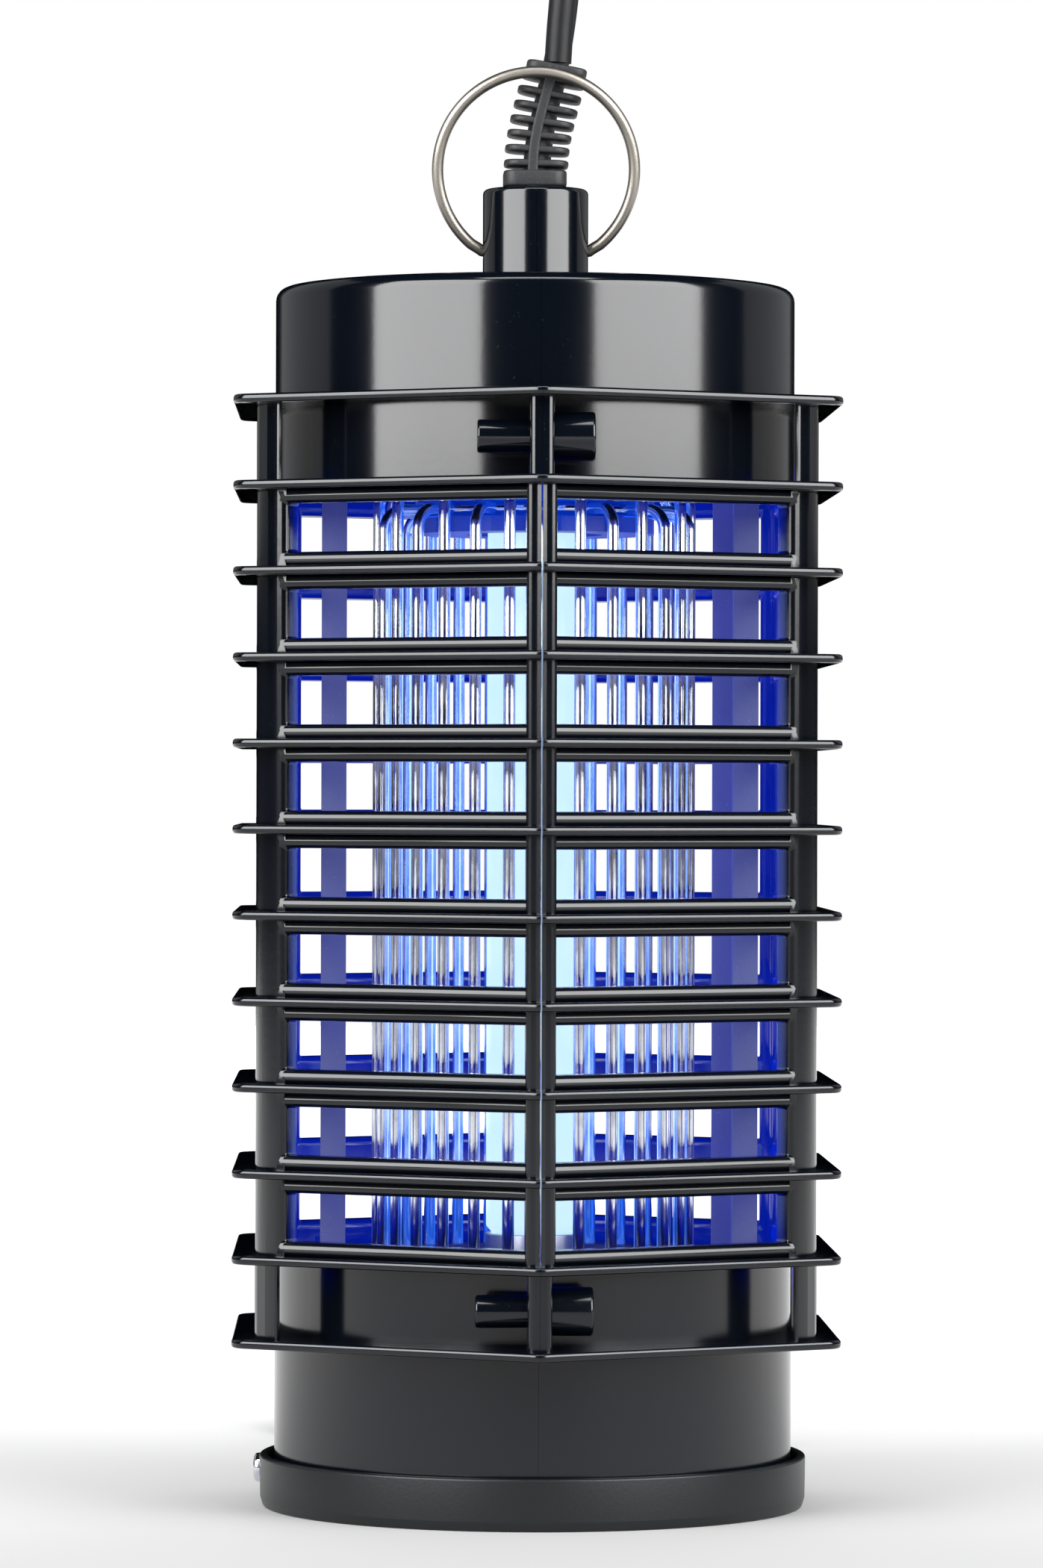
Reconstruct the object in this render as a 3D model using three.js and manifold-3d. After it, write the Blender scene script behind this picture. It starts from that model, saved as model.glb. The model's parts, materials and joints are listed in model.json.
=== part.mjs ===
// Electric bug zapper: a hexagonal louvred lantern with a UV lamp, a high-voltage rod grid and a tray.
// Millimetres, +Z up, origin at the centre of the tray's underside, front corner of the cage at -Y.
import * as THREE from "three";
import { mergeVertices } from "three/addons/utils/BufferGeometryUtils.js";
import Module from "manifold-3d";

const wasm = await Module();
wasm.setup();

// ---- Driving dimensions ----
const GAP = 0.3; // clearance between pieces that touch
const SEAM = 0.15; // half of the slit between the two shells
const WALL = 2; // shell wall
const ROUND = 24; // facets of a large round piece

const FIN_APOTHEM = 50.95;
const FIN_CORNER = 4;
const FIN_THICK = 1.5;
const FIN_PITCH = 14.36;
const FIN_11_Z = 43.56; // middle height of the lowest cage fin
const FIN_12_Z = 29.6; // middle height of the fin over the base
const CAGE_ROWS = 9; // rows of windows between fins 2 and 11
const FIN_2_Z = FIN_11_Z + CAGE_ROWS * FIN_PITCH;
const FIN_1_Z = FIN_2_Z + FIN_PITCH;

const CAGE_APOTHEM = 47.1; // outside of the cage wall
const CAGE_WALL = 5;
const WINDOW_HIGH = 8.4;
const SEAM_POST = 2.8; // along a face, from a seam corner to its first window
const SIDE_POST = 5.8; // along a face, from a side corner to its window

const BAND_R = 44; // round bands, cap and base
const CAP_TOP = 207.5;
const BASE_BOTTOM = 3.5;
const NECK_R = 9;
const NECK_TOP = 224.6;
const HINGE_Z = 214; // hanging ring's hinge line

const TRAY_R = 46.6;
const TRAY_RIM = 8.8;
const TRAY_WALL = 1.5;
const TRAY_FLOOR = 2;
const LOCK_TURN = 174; // degrees from +X to the lock screw
const LOCK_Z = 5.8;

const LAMP_R = 8;
const LAMP_LOW = 40.2; // lower base face of the lamp
const LAMP_HIGH = 176.2; // upper base face
const PIN_SPACING = 5;

const ROD_R = 1; // grid wire
const ROD_CIRCLE = 26.6;
const ROD_COUNT = 28;
const ROD_FIRST = 2.57; // degrees from the front corner to the first wire

const DECK_Z = 178.5; // underside of the electronics deck
const DECK_THICK = 2;
const LEDGE_R = 39.6; // ledges that hold the deck and the lower carrier
const BOARD_Z = 188.4;
const CARRIER_Z = 35.4; // underside of the lower carrier

const CORD_R = 2.35;
const COIL_CENTRE = [1, 101];
const COIL_LIFT = 1.1; // the coil lies on its tie
const COIL_MID = 27; // middle radius of the turns
const COIL_TURNS = 4; // turns side by side
const COIL_LAYERS = 2;
const TIE_WIDE = 6;
const TIE_BAND = 0.8;

// ---- Materials ----
const material = (color, roughness, metalness, more = {}) =>
  new THREE.MeshStandardMaterial({ color, roughness, metalness, ...more });
const gloss = material(0x0b0f14, 0.18, 0);
const satin = material(0x2b3034, 0.45, 0);
const pvc = material(0x2a2c31, 0.7, 0);
const nickel = material(0x9a958c, 0.3, 1);
const chrome = material(0xd8dce2, 0.15, 1);
const zinc = material(0xb4b8bc, 0.35, 1);
const glow = material(0xcff4ff, 0.3, 0, { emissive: 0x9fe8ff });
const ivory = material(0xe4e0d4, 0.5, 0);
const greyPlastic = material(0x8a8fa0, 0.55, 0);
const boardGreen = material(0x1e6b3c, 0.6, 0);
const ferrite = material(0x3a3a3e, 0.6, 0);
const copper = material(0xb46a3a, 0.4, 1);
const filmRed = material(0xa03a2a, 0.5, 0);
const canBlue = material(0x20304f, 0.4, 0);
const wireRed = material(0xa02622, 0.5, 0);
const wireWhite = material(0xd8d8d4, 0.5, 0);

// ---- Solids ----
function toSolid(geometry) {
  const bare = new THREE.BufferGeometry();
  bare.setAttribute("position", geometry.getAttribute("position"));
  if (geometry.index) bare.setIndex(geometry.index);
  const merged = mergeVertices(bare, 1e-4);
  const corners = Array.from(merged.index.array);
  const kept = [];
  for (let i = 0; i < corners.length; i += 3) {
    const [a, b, c] = corners.slice(i, i + 3);
    if (a !== b && b !== c && c !== a) kept.push(a, b, c);
  }
  const build = (list) =>
    new wasm.Manifold(
      new wasm.Mesh({
        numProp: 3,
        vertProperties: merged.attributes.position.array,
        triVerts: new Uint32Array(list),
      }),
    );
  const solid = build(kept);
  return solid.volume() > 0 ? solid : build(kept.reverse());
}

function toGeometry(solid) {
  const mesh = solid.getMesh();
  const geometry = new THREE.BufferGeometry();
  geometry.setAttribute("position", new THREE.BufferAttribute(mesh.vertProperties, 3));
  geometry.setIndex(new THREE.BufferAttribute(mesh.triVerts, 1));
  geometry.computeVertexNormals();
  return geometry;
}

const join = (first, ...rest) => rest.reduce((sum, next) => sum.add(next), first);
const cut = (first, ...rest) => rest.reduce((left, next) => left.subtract(next), first);
const degrees = THREE.MathUtils.degToRad;

function box(x0, x1, y0, y1, z0, z1) {
  const shape = new THREE.BoxGeometry(x1 - x0, y1 - y0, z1 - z0);
  return toSolid(shape.translate((x0 + x1) / 2, (y0 + y1) / 2, (z0 + z1) / 2));
}

// A profile of [radius, height] points turned about Z.
function turned(profile, facets = ROUND) {
  const points = profile.map(([r, z]) => new THREE.Vector2(r, z));
  return toSolid(new THREE.LatheGeometry(points, facets).rotateX(Math.PI / 2));
}

const washer = (r0, r1, z0, z1, facets) =>
  turned([[r0, z0], [r1, z0], [r1, z1], [r0, z1], [r0, z0]], facets);
const disc = (r, z0, z1, facets) => turned([[0, z0], [r, z0], [r, z1], [0, z1]], facets);

// A cylinder along X or Z from low to high, at (a, b) on the two other axes.
function rod(axis, radius, low, high, a, b, facets = 12) {
  const shape = new THREE.CylinderGeometry(radius, radius, high - low, facets);
  const middle = (low + high) / 2;
  if (axis === "x") return toSolid(shape.rotateZ(Math.PI / 2).translate(middle, a, b));
  return toSolid(shape.rotateX(Math.PI / 2).translate(a, b, middle));
}

function extruded(shape, z0, z1, curveSegments = 4) {
  const options = { depth: z1 - z0, bevelEnabled: false, curveSegments };
  return toSolid(new THREE.ExtrudeGeometry(shape, options).translate(0, 0, z0));
}

// A line through its own points, with one step for each of them.
class Route extends THREE.Curve {
  constructor(points) {
    super();
    this.points = points.map((p) => new THREE.Vector3(...p));
  }
  getPoint(t, target = new THREE.Vector3()) {
    const place = THREE.MathUtils.clamp(t, 0, 1) * (this.points.length - 1);
    const i = Math.min(Math.floor(place), this.points.length - 2);
    return target.lerpVectors(this.points[i], this.points[i + 1], place - i);
  }
  getPointAt(u, target) {
    return this.getPoint(u, target);
  }
  getTangentAt(u, target = new THREE.Vector3()) {
    const i = Math.round(u * (this.points.length - 1));
    const before = this.points[Math.max(i - 1, 0)];
    const after = this.points[Math.min(i + 1, this.points.length - 1)];
    return target.subVectors(after, before).normalize();
  }
  getSpacedPoints(divisions) {
    return this.getPoints(divisions);
  }
}

function tube(points, radius, sides = 8) {
  const section = new THREE.Shape();
  for (let i = 0; i < sides; i++) {
    const turn = (2 * Math.PI * i) / sides;
    const corner = [radius * Math.cos(turn), radius * Math.sin(turn)];
    if (i) section.lineTo(...corner);
    else section.moveTo(...corner);
  }
  const route = new Route(points);
  const options = { steps: points.length - 1, extrudePath: route, bevelEnabled: false };
  return toSolid(new THREE.ExtrudeGeometry(section, options));
}

// A hexagon with corners on +Y and -Y, its corners rounded.
function hexagon(apothem, corner = 0) {
  const shape = new THREE.Shape();
  const reach = (apothem - corner) / Math.cos(Math.PI / 6);
  for (let k = 0; k < 6; k++) {
    const turn = Math.PI / 2 + (k * Math.PI) / 3;
    const [x, y] = [reach * Math.cos(turn), reach * Math.sin(turn)];
    if (corner) shape.absarc(x, y, corner, turn - Math.PI / 6, turn + Math.PI / 6, false);
    else if (k) shape.lineTo(x, y);
    else shape.moveTo(x, y);
  }
  return shape;
}

// A pan-head screw with its head's underside at z = 0 and its shank pointing down.
function panScrew(headR, headHigh, shankR, length, facets = 10) {
  const crown = headHigh * 0.55;
  const profile = [
    [0, -length], [shankR, -length + shankR], [shankR, 0],
    [headR, 0], [headR, crown], [headR * 0.72, headHigh * 0.9], [0, headHigh],
  ];
  const slot = box(-headR * 0.7, headR * 0.7, -headR * 0.12, headR * 0.12, crown, headHigh + 1);
  return cut(turned(profile, facets), slot);
}

const group = new THREE.Group();
function piece(name, solid, look, parent = group) {
  const mesh = new THREE.Mesh(toGeometry(solid), look);
  mesh.name = name;
  parent.add(mesh);
  return mesh;
}

// ---- Housing ----
const BOSS_Y = 49.2; // distance of the screw bosses from the axis
const BOSS_HEIGHTS = [(FIN_1_Z + FIN_2_Z) / 2, (FIN_11_Z + FIN_12_Z) / 2];
const BOSS_LEFT_R = 2.75; // threaded boss on the left shell
const BOSS_LEFT_LONG = 10.6;
const BOSS_RIGHT_R = 4.05; // boss on the right shell, with the screw head inside it
const BOSS_RIGHT_LONG = 8.8;
const SCREW_SEAT_X = 5.9;

function capAndBands() {
  const inner = BAND_R - WALL;
  const capR = BAND_R + 0.3;
  const top = turned([
    [BAND_R, FIN_2_Z], [BAND_R, FIN_1_Z], [capR, FIN_1_Z], [capR, CAP_TOP - 2.4],
    [capR - 0.7, CAP_TOP - 0.7], [capR - 2.4, CAP_TOP], [NECK_R, CAP_TOP],
    [NECK_R, NECK_TOP - 0.6], [NECK_R - 0.6, NECK_TOP], [4.4, NECK_TOP],
    [4.4, NECK_TOP - 2.2], [NECK_R - WALL, NECK_TOP - 2.2], [NECK_R - WALL, CAP_TOP - WALL],
    [inner, CAP_TOP - WALL], [inner, DECK_Z + DECK_THICK + 1.8],
    [LEDGE_R, DECK_Z + DECK_THICK + 1.8], [LEDGE_R, DECK_Z + DECK_THICK + GAP],
    [inner, DECK_Z + DECK_THICK + GAP], [inner, DECK_Z - GAP], [LEDGE_R, DECK_Z - GAP],
    [LEDGE_R, DECK_Z - 1.8], [inner, DECK_Z - 1.8], [inner, FIN_2_Z], [BAND_R, FIN_2_Z],
  ]);
  const bottom = turned([
    [inner, BASE_BOTTOM], [BAND_R + 0.1, BASE_BOTTOM], [BAND_R + 0.1, FIN_12_Z],
    [BAND_R, FIN_12_Z], [BAND_R, FIN_11_Z], [inner, FIN_11_Z],
    [inner, CARRIER_Z + 3.5], [LEDGE_R, CARRIER_Z + 3.5], [LEDGE_R, CARRIER_Z + 2 + GAP],
    [inner, CARRIER_Z + 2 + GAP], [inner, CARRIER_Z - GAP], [LEDGE_R, CARRIER_Z - GAP],
    [LEDGE_R, CARRIER_Z - 1.8], [inner, CARRIER_Z - 1.8], [inner, BASE_BOTTOM],
  ]);
  return [top, bottom];
}

function cageWall() {
  const ring = hexagon(CAGE_APOTHEM);
  ring.holes.push(new THREE.Path(hexagon(CAGE_APOTHEM - CAGE_WALL).getPoints().reverse()));
  return extruded(ring, FIN_11_Z, FIN_2_Z);
}

// The windows of one row, cut through all six faces.
function windowRow(z) {
  const half = CAGE_APOTHEM * Math.tan(Math.PI / 6);
  return [0, 1, 2, 3, 4, 5].map((face) => {
    const seamAt = { 1: 1, 2: -1, 4: 1, 5: -1 }[face]; // which end of the face is a seam corner
    const low = -half + (seamAt === -1 ? SEAM_POST : SIDE_POST);
    const high = half - (seamAt === 1 ? SEAM_POST : SIDE_POST);
    const [near, far] = [CAGE_APOTHEM - CAGE_WALL - 1, CAGE_APOTHEM + 1];
    const opening = box(near, far, low, high, z - WINDOW_HIGH / 2, z + WINDOW_HIGH / 2);
    return opening.rotate([0, 0, face * 60]);
  });
}

function fin(z, hole) {
  const plate = extruded(hexagon(FIN_APOTHEM, FIN_CORNER), z - FIN_THICK / 2, z + FIN_THICK / 2, 2);
  return cut(plate, hole);
}

// Upright ribs on the round bands: one at each end of the seam, and one at each side corner.
const BAND_SPANS = [[FIN_2_Z, FIN_1_Z], [FIN_12_Z, FIN_11_Z]];
function bandRibs() {
  const [back, outer] = [BAND_R - 0.6, CAGE_APOTHEM / Math.cos(Math.PI / 6) - 0.6];
  const half = 2; // half of a seam rib's width
  const side = CAGE_APOTHEM - 4.2; // a side rib's inner edge
  return BAND_SPANS.flatMap(([low, high]) => {
    const corners = extruded(hexagon(CAGE_APOTHEM), low, high);
    const ribs = [-1, 1].flatMap((x) =>
      [-1, 1].map((y) => {
        const [x0, x1] = x < 0 ? [-60, -side] : [side, 60];
        const [y0, y1] = y < 0 ? [-40, -22.4] : [22.4, 40];
        return corners.intersect(box(x0, x1, y0, y1, low, high));
      }),
    );
    return [box(-half, half, -outer, -back, low, high), box(-half, half, back, outer, low, high), ...ribs];
  });
}

function screwBosses() {
  const solid = [];
  const holes = [];
  for (const y of [-BOSS_Y, BOSS_Y])
    for (const z of BOSS_HEIGHTS) {
      solid.push(rod("x", BOSS_LEFT_R, -BOSS_LEFT_LONG, 0, y, z, 16));
      solid.push(rod("x", BOSS_RIGHT_R, 0, BOSS_RIGHT_LONG, y, z, 20));
      holes.push(rod("x", 1.5, 1.2 - BOSS_LEFT_LONG, BOSS_RIGHT_LONG + 1, y, z));
      holes.push(rod("x", BOSS_RIGHT_R - 0.95, SCREW_SEAT_X, BOSS_RIGHT_LONG + 1, y, z, 16));
    }
  return [solid, holes];
}

function housing() {
  const outline = disc(BAND_R - WALL, 0, CAP_TOP - WALL);
  const insideCage = extruded(hexagon(CAGE_APOTHEM - CAGE_WALL / 2), 0, CAP_TOP);
  const pieces = [...capAndBands(), cageWall(), ...bandRibs()];
  const windows = [];
  for (let k = 0; k <= CAGE_ROWS; k++) {
    const z = FIN_11_Z + k * FIN_PITCH;
    pieces.push(fin(z, k === 0 || k === CAGE_ROWS ? outline : insideCage));
    if (k < CAGE_ROWS) windows.push(...windowRow(z + FIN_PITCH / 2));
  }
  pieces.push(fin(FIN_1_Z, outline), fin(FIN_12_Z, outline));
  const [bosses, holes] = screwBosses();
  const ringHole = rod("x", 1.3, -NECK_R - 1, NECK_R + 1, 0, HINGE_Z);
  const whole = join(...pieces, ...bosses);
  return cut(whole, ...windows, ...holes, ringHole, traySlot());
}

// The slot in the base that lets the tray drop with its lock screw in place.
function traySlot() {
  const slot = box(BAND_R - 4, BAND_R + 2, -1.9, 1.9, BASE_BOTTOM - 1, LOCK_Z + 1.9);
  return slot.rotate([0, 0, LOCK_TURN]);
}

function shells() {
  const whole = housing();
  const [far, top] = [80, 240];
  piece("left_shell", whole.intersect(box(-far, -SEAM, -far, far, -1, top)), gloss);
  piece("right_shell", whole.intersect(box(SEAM, far, -far, far, -1, top)), gloss);
  const names = ["front_top", "front_bottom", "back_top", "back_bottom"];
  [-BOSS_Y, BOSS_Y].forEach((y, i) =>
    BOSS_HEIGHTS.forEach((z, j) => {
      const screw = piece("housing_screw_" + names[2 * i + j], panScrew(2.7, 1.9, 1.2, 13.5), zinc);
      screw.rotation.y = Math.PI / 2;
      screw.position.set(SCREW_SEAT_X + GAP, y, z);
    }),
  );
}

// ---- Tray ----
function tray() {
  const inner = TRAY_R - TRAY_WALL;
  const cup = turned([
    [0, 0], [TRAY_R - 3.2, 0], [TRAY_R - 1.2, 0.8], [TRAY_R - 0.2, 3],
    [TRAY_R, TRAY_RIM - 0.4], [TRAY_R - 0.4, TRAY_RIM], [inner + 0.3, TRAY_RIM],
    [inner, TRAY_RIM - 0.4], [inner, TRAY_FLOOR + 1.2], [inner - 1.2, TRAY_FLOOR],
    [0, TRAY_FLOOR],
  ]);
  const hole = rod("x", 1.8, TRAY_R - 4, TRAY_R + 2, 0, LOCK_Z).rotate([0, 0, LOCK_TURN]);
  piece("collecting_tray", cut(cup, hole), satin);
  const spot = new THREE.Group();
  spot.rotation.z = degrees(LOCK_TURN);
  group.add(spot);
  const screw = piece("tray_lock_screw", panScrew(2.5, 2, 1.5, 5.5), chrome, spot);
  screw.rotation.y = Math.PI / 2;
  screw.position.set(TRAY_R + GAP, 0, LOCK_Z);
}

// ---- Hanging ring ----
const RING_MID = 16.8; // radius of the ring's wire
const RING_WIRE = 0.97;
const RING_RISE = 14; // ring's middle above its hinge line
const RING_LEAN = 12; // degrees forward of upright
function hangingRing() {
  const first = 0.13 - Math.asin(RING_RISE / RING_MID); // just above the hinge line
  const points = [];
  const steps = 26;
  for (let i = 0; i <= steps; i++) {
    const turn = first + ((Math.PI - 2 * first) * i) / steps;
    points.push([RING_MID * Math.cos(turn), 0, RING_RISE + RING_MID * Math.sin(turn)]);
  }
  const start = [[NECK_R - 2.8, 0, 0], [NECK_R - 0.4, 0, 0], [NECK_R + 0.55, 0, 0.35]];
  const end = start.map(([x, y, z]) => [-x, y, z]).reverse();
  const ring = piece("hanging_ring", tube([...start, ...points, ...end], RING_WIRE), nickel);
  ring.position.z = HINGE_Z;
  ring.rotation.x = degrees(RING_LEAN);
}

// ---- Supply cord, strain relief and plug ----
const RELIEF_LOW = [0, 0, NECK_TOP + GAP];
const RELIEF_HIGH = [3.7, 0, 246];
function strainRelief() {
  const flange = disc(6.3, NECK_TOP - 5.4, NECK_TOP - 2.5, 20);
  const stem = disc(4, NECK_TOP - 3, NECK_TOP + 1, 20);
  const along = RELIEF_HIGH[0] / (RELIEF_HIGH[2] - RELIEF_LOW[2]); // sideways lean per height
  const at = (z) => along * (z - RELIEF_LOW[2]);
  const core = tube([[0, 0, RELIEF_LOW[2]], [at(RELIEF_HIGH[2]), 0, RELIEF_HIGH[2]]], 3.3);
  const ribs = [box(-5.5, 5.2, -4.6, 4.6, RELIEF_LOW[2], RELIEF_LOW[2] + 2.8)];
  const count = 7;
  for (let k = 0; k < count; k++) {
    const z = RELIEF_LOW[2] + 3.9 + k * 2.45;
    ribs.push(box(at(z) - 5.1, at(z) + 5.1, -4.2, 4.2, z, z + 1.3));
  }
  const top = RELIEF_HIGH[2];
  const spine = box(-0.9, 0.9, -4.4, -2.6, RELIEF_LOW[2], top - 0.5);
  const lead = rod("z", 1.9, NECK_TOP - 5.6, NECK_TOP - 5.3, 0, 0, 12);
  piece("strain_relief", join(flange, stem, core, ...ribs, spine, lead), pvc);
}

// The free cord's route from the strain relief, over the back and down to the coil.
const CORD_ROUTE = [
  [3.75, 0, 246.3], [4.1, 0, 252], [4.6, 0.1, 258], [5.3, 1.2, 267], [6.1, 5.5, 277],
  [6.8, 13, 286], [7.3, 22.5, 291.5], [7.6, 32, 293], [7.8, 41.5, 291], [7.8, 50.5, 285.5],
  [7.5, 57.5, 276.5], [6.9, 61.2, 266], [5.3, 62.2, 254], [2.4, 62.3, 240], [1.4, 62.3, 226],
  [1.7, 62.3, 210], [2.5, 62.3, 185], [3.1, 62.3, 155], [3.2, 62.3, 125], [3.3, 62.3, 95],
  [3.4, 62.3, 65], [3.5, 62.3, 45], [3.4, 62.3, 32], [2.4, 62.8, 22], [0.4, 63.7, 16.2],
  [-1.6, 64.7, 13.6],
];
const PLUG_Y = 157.5;
const PLUG_LEAD = [
  [-36.6, 118, 2.5], [-39.2, 124, 2.5], [-41.6, 130.5, 2.5], [-42.6, 138, 3],
  [-41, 145.6, 4], [-36.6, 152, 5.2], [-31, 156.2, 6.4], [-24.2, PLUG_Y, 6.8],
];
function coilSolid() {
  const spread = (COIL_TURNS * CORD_R * 2) / 2;
  const high = COIL_LAYERS * CORD_R * 2;
  const [r0, r1, c] = [COIL_MID - spread, COIL_MID + spread, 1.6];
  return turned([
    [r0 + c, 0], [r1 - c, 0], [r1, c], [r1, high - c], [r1 - c, high],
    [r0 + c, high], [r0, high - c], [r0, c], [r0 + c, 0],
  ], 24);
}

function cord() {
  piece("supply_cord", tube(CORD_ROUTE, CORD_R), pvc);
  piece("plug_lead", tube(PLUG_LEAD, CORD_R), pvc);
  const coil = piece("cord_coil", coilSolid(), pvc);
  coil.position.set(COIL_CENTRE[0], COIL_CENTRE[1], COIL_LIFT);
  piece("cord_tie", cordTie(), satin);
}

// The band round all the turns, on the coil's +X side.
function cordTie() {
  const half = COIL_TURNS * CORD_R;
  const slack = 0.6; // a turned ring's flat sides come inside its inner radius
  const [x0, x1] = [COIL_CENTRE[0] + COIL_MID - half - slack, COIL_CENTRE[0] + COIL_MID + half];
  const top = COIL_LIFT + COIL_LAYERS * CORD_R * 2;
  const [y0, y1] = [COIL_CENTRE[1] - TIE_WIDE / 2, COIL_CENTRE[1] + TIE_WIDE / 2];
  const out = GAP + TIE_BAND;
  const outside = box(x0 - out, x1 + out, y0, y1, 0, top + out);
  return cut(outside, box(x0 - GAP, x1 + GAP, y0 - 1, y1 + 1, TIE_BAND, top + GAP));
}

const PLUG_THICK = 13.7;
const PLUG_WIDE = 35.3;
const PLUG_PITCH = 18.6; // between the two pins
function plug() {
  const middle = PLUG_THICK / 2;
  const shape = new THREE.Shape();
  const outline = [
    [-8, -7], [-4, -8.5], [10, -12], [20, -PLUG_WIDE / 2], [27, -PLUG_WIDE / 2],
    [27, PLUG_WIDE / 2], [20, PLUG_WIDE / 2], [10, 12], [-4, 8.5], [-8, 7],
  ];
  outline.forEach(([x, y], i) => (i ? shape.lineTo(x, y) : shape.moveTo(x, y)));
  const slab = extruded(shape, 0, PLUG_THICK);
  const bevels = [-1, 1].flatMap((side) =>
    [-1, 1].map((up) => {
      const wedge = box(-40, 60, 0, 12, -6, 6).rotate([45, 0, 0]);
      return wedge.translate([0, side * (PLUG_WIDE / 2 - 1), middle + up * 12.5]);
    }),
  );
  const sleeve = rod("x", 3.9, -23.5, -7, 0, middle, 12);
  const pins = [-PLUG_PITCH / 2, PLUG_PITCH / 2];
  const sockets = pins.map((y) => rod("x", 2.3, 20, 28, y, middle, 12));
  const body = cut(join(slab, sleeve), ...bevels, ...sockets);
  piece("plug_body", body, pvc).position.y = PLUG_Y;
  pins.forEach((y, i) => {
    const pin = rod("x", 2, 20 + GAP, 46, y, middle, 12);
    piece("plug_pin_" + (i + 1), pin, zinc).position.y = PLUG_Y;
  });
}

// ---- Lamp and its holders ----
function lampCap(up) {
  const [outer, inner, high] = [LAMP_R + 0.2, LAMP_R - 0.6, 6.2];
  const shell = turned([[0, 0], [outer, 0], [outer, high], [inner, high], [inner, 1], [0, 1]], 24);
  const pins = [-1, 1].map((side) => rod("z", 1.15, -6.4, 0.5, (side * PIN_SPACING) / 2, 0, 8));
  const cap = join(shell, ...pins);
  return up ? cap.rotate([180, 0, 0]).translate([0, 0, LAMP_HIGH]) : cap.translate([0, 0, LAMP_LOW]);
}

function lamp() {
  const end = 1 + GAP;
  const r = LAMP_R - 0.9;
  const [low, high] = [LAMP_LOW + end, LAMP_HIGH - end];
  const glass = turned([
    [0, low], [r, low], [r, LAMP_LOW + 6.5], [LAMP_R, LAMP_LOW + 7],
    [LAMP_R, LAMP_HIGH - 7], [r, LAMP_HIGH - 6.5], [r, high], [0, high],
  ], 24);
  piece("lamp_tube", glass, glow);
  piece("lamp_cap_bottom", lampCap(false), zinc);
  piece("lamp_cap_top", lampCap(true), zinc);
}

// A holder with its mouth at z = 0 facing up: the body, and the rotor that turns with the lamp.
function holderPair(name, place) {
  const seat = disc(5.9, -3.4, 1, 20);
  const pocket = disc(4.6, -7.4, 1, 20);
  const body = cut(box(-9, 9, -6, 6, -10, 0), seat, pocket);
  const pinHoles = [-1, 1].map((side) => rod("z", 1.5, -4, 1, (side * PIN_SPACING) / 2, 0, 8));
  const rotor = cut(disc(5.5, -3.1, -0.1, 20), ...pinHoles);
  piece(name + "_lampholder", place(body), ivory);
  piece(name + "_rotor", place(rotor), ivory);
}

function lampholders() {
  holderPair("lower", (s) => s.translate([0, 0, LAMP_LOW - GAP]));
  holderPair("upper", (s) => s.rotate([180, 0, 0]).translate([0, 0, LAMP_HIGH + GAP]));
}

// ---- High-voltage grid ----
const GRID_BOTTOM = 40.9;
const LEVEL_A = 169.5; // height of the first electrode's bends
const LEVEL_B = 173.5;
const RING_A = 18.6;
const RING_B = 16.8;
const wireTurn = (k) => degrees(ROD_FIRST - 90 + (k * 360) / ROD_COUNT);
const polar = (r, turn) => [r * Math.cos(turn), r * Math.sin(turn)];
const HV_A = polar(RING_A + 0.4, wireTurn(20)); // where the leads rise from the two electrodes
const HV_B = polar(RING_B, wireTurn(6));
const THIRDS = [90, 210, 330].map(degrees);
const HUB_SCREWS = THIRDS.map((turn) => polar(13.4, turn));
const PILLARS = THIRDS.map((turn) => polar(31, turn));

function gridWire(k, level, inner) {
  const bend = 3.4;
  const profile = [[ROD_CIRCLE, GRID_BOTTOM], [ROD_CIRCLE, level - bend]];
  for (const part of [1, 2]) {
    const a = (part * Math.PI) / 4;
    const r = ROD_CIRCLE - bend * (1 - Math.cos(a));
    profile.push([r, level - bend + bend * Math.sin(a)]);
  }
  profile.push([inner, level]);
  const points = profile.map(([r, z]) => [...polar(r, wireTurn(k)), z]);
  return tube(points, ROD_R, 6);
}

function electrode(name, first, level, inner) {
  const wires = [];
  for (let k = first; k < ROD_COUNT; k += 2) wires.push(gridWire(k, level, inner));
  const hoop = toSolid(new THREE.TorusGeometry(inner, ROD_R, 6, 28).translate(0, 0, level));
  piece(name, join(hoop, ...wires), chrome);
}

function grid() {
  electrode("grid_electrode_a", 0, LEVEL_A, RING_A);
  electrode("grid_electrode_b", 1, LEVEL_B, RING_B);
  const collar = turned([
    [11.6, 165.6], [20.4, 165.6], [20.4, LEVEL_A - ROD_R - GAP], [15.2, LEVEL_A - ROD_R - GAP],
    [15.2, DECK_Z - GAP], [11.6, DECK_Z - GAP], [11.6, 165.6],
  ], 32);
  const hubHoles = HUB_SCREWS.map(([x, y]) => rod("z", 1.2, DECK_Z - 8, DECK_Z, x, y, 8));
  piece("grid_hub", cut(collar, ...hubHoles), satin);
  const passA = rod("z", 1.2, 160, DECK_Z + 5, ...HV_A, 8);
  const passB = rod("z", 1.2, LEVEL_B, DECK_Z + 5, ...HV_B, 8);
  const spacer = washer(15.5, 20.4, LEVEL_A + ROD_R + GAP, LEVEL_B - ROD_R - GAP, 32);
  const clamp = washer(15.5, 20.4, LEVEL_B + ROD_R + GAP, DECK_Z - GAP, 32);
  piece("grid_spacer", cut(spacer, passA), satin);
  piece("grid_clamp", cut(clamp, passA, passB), satin);
}

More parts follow.
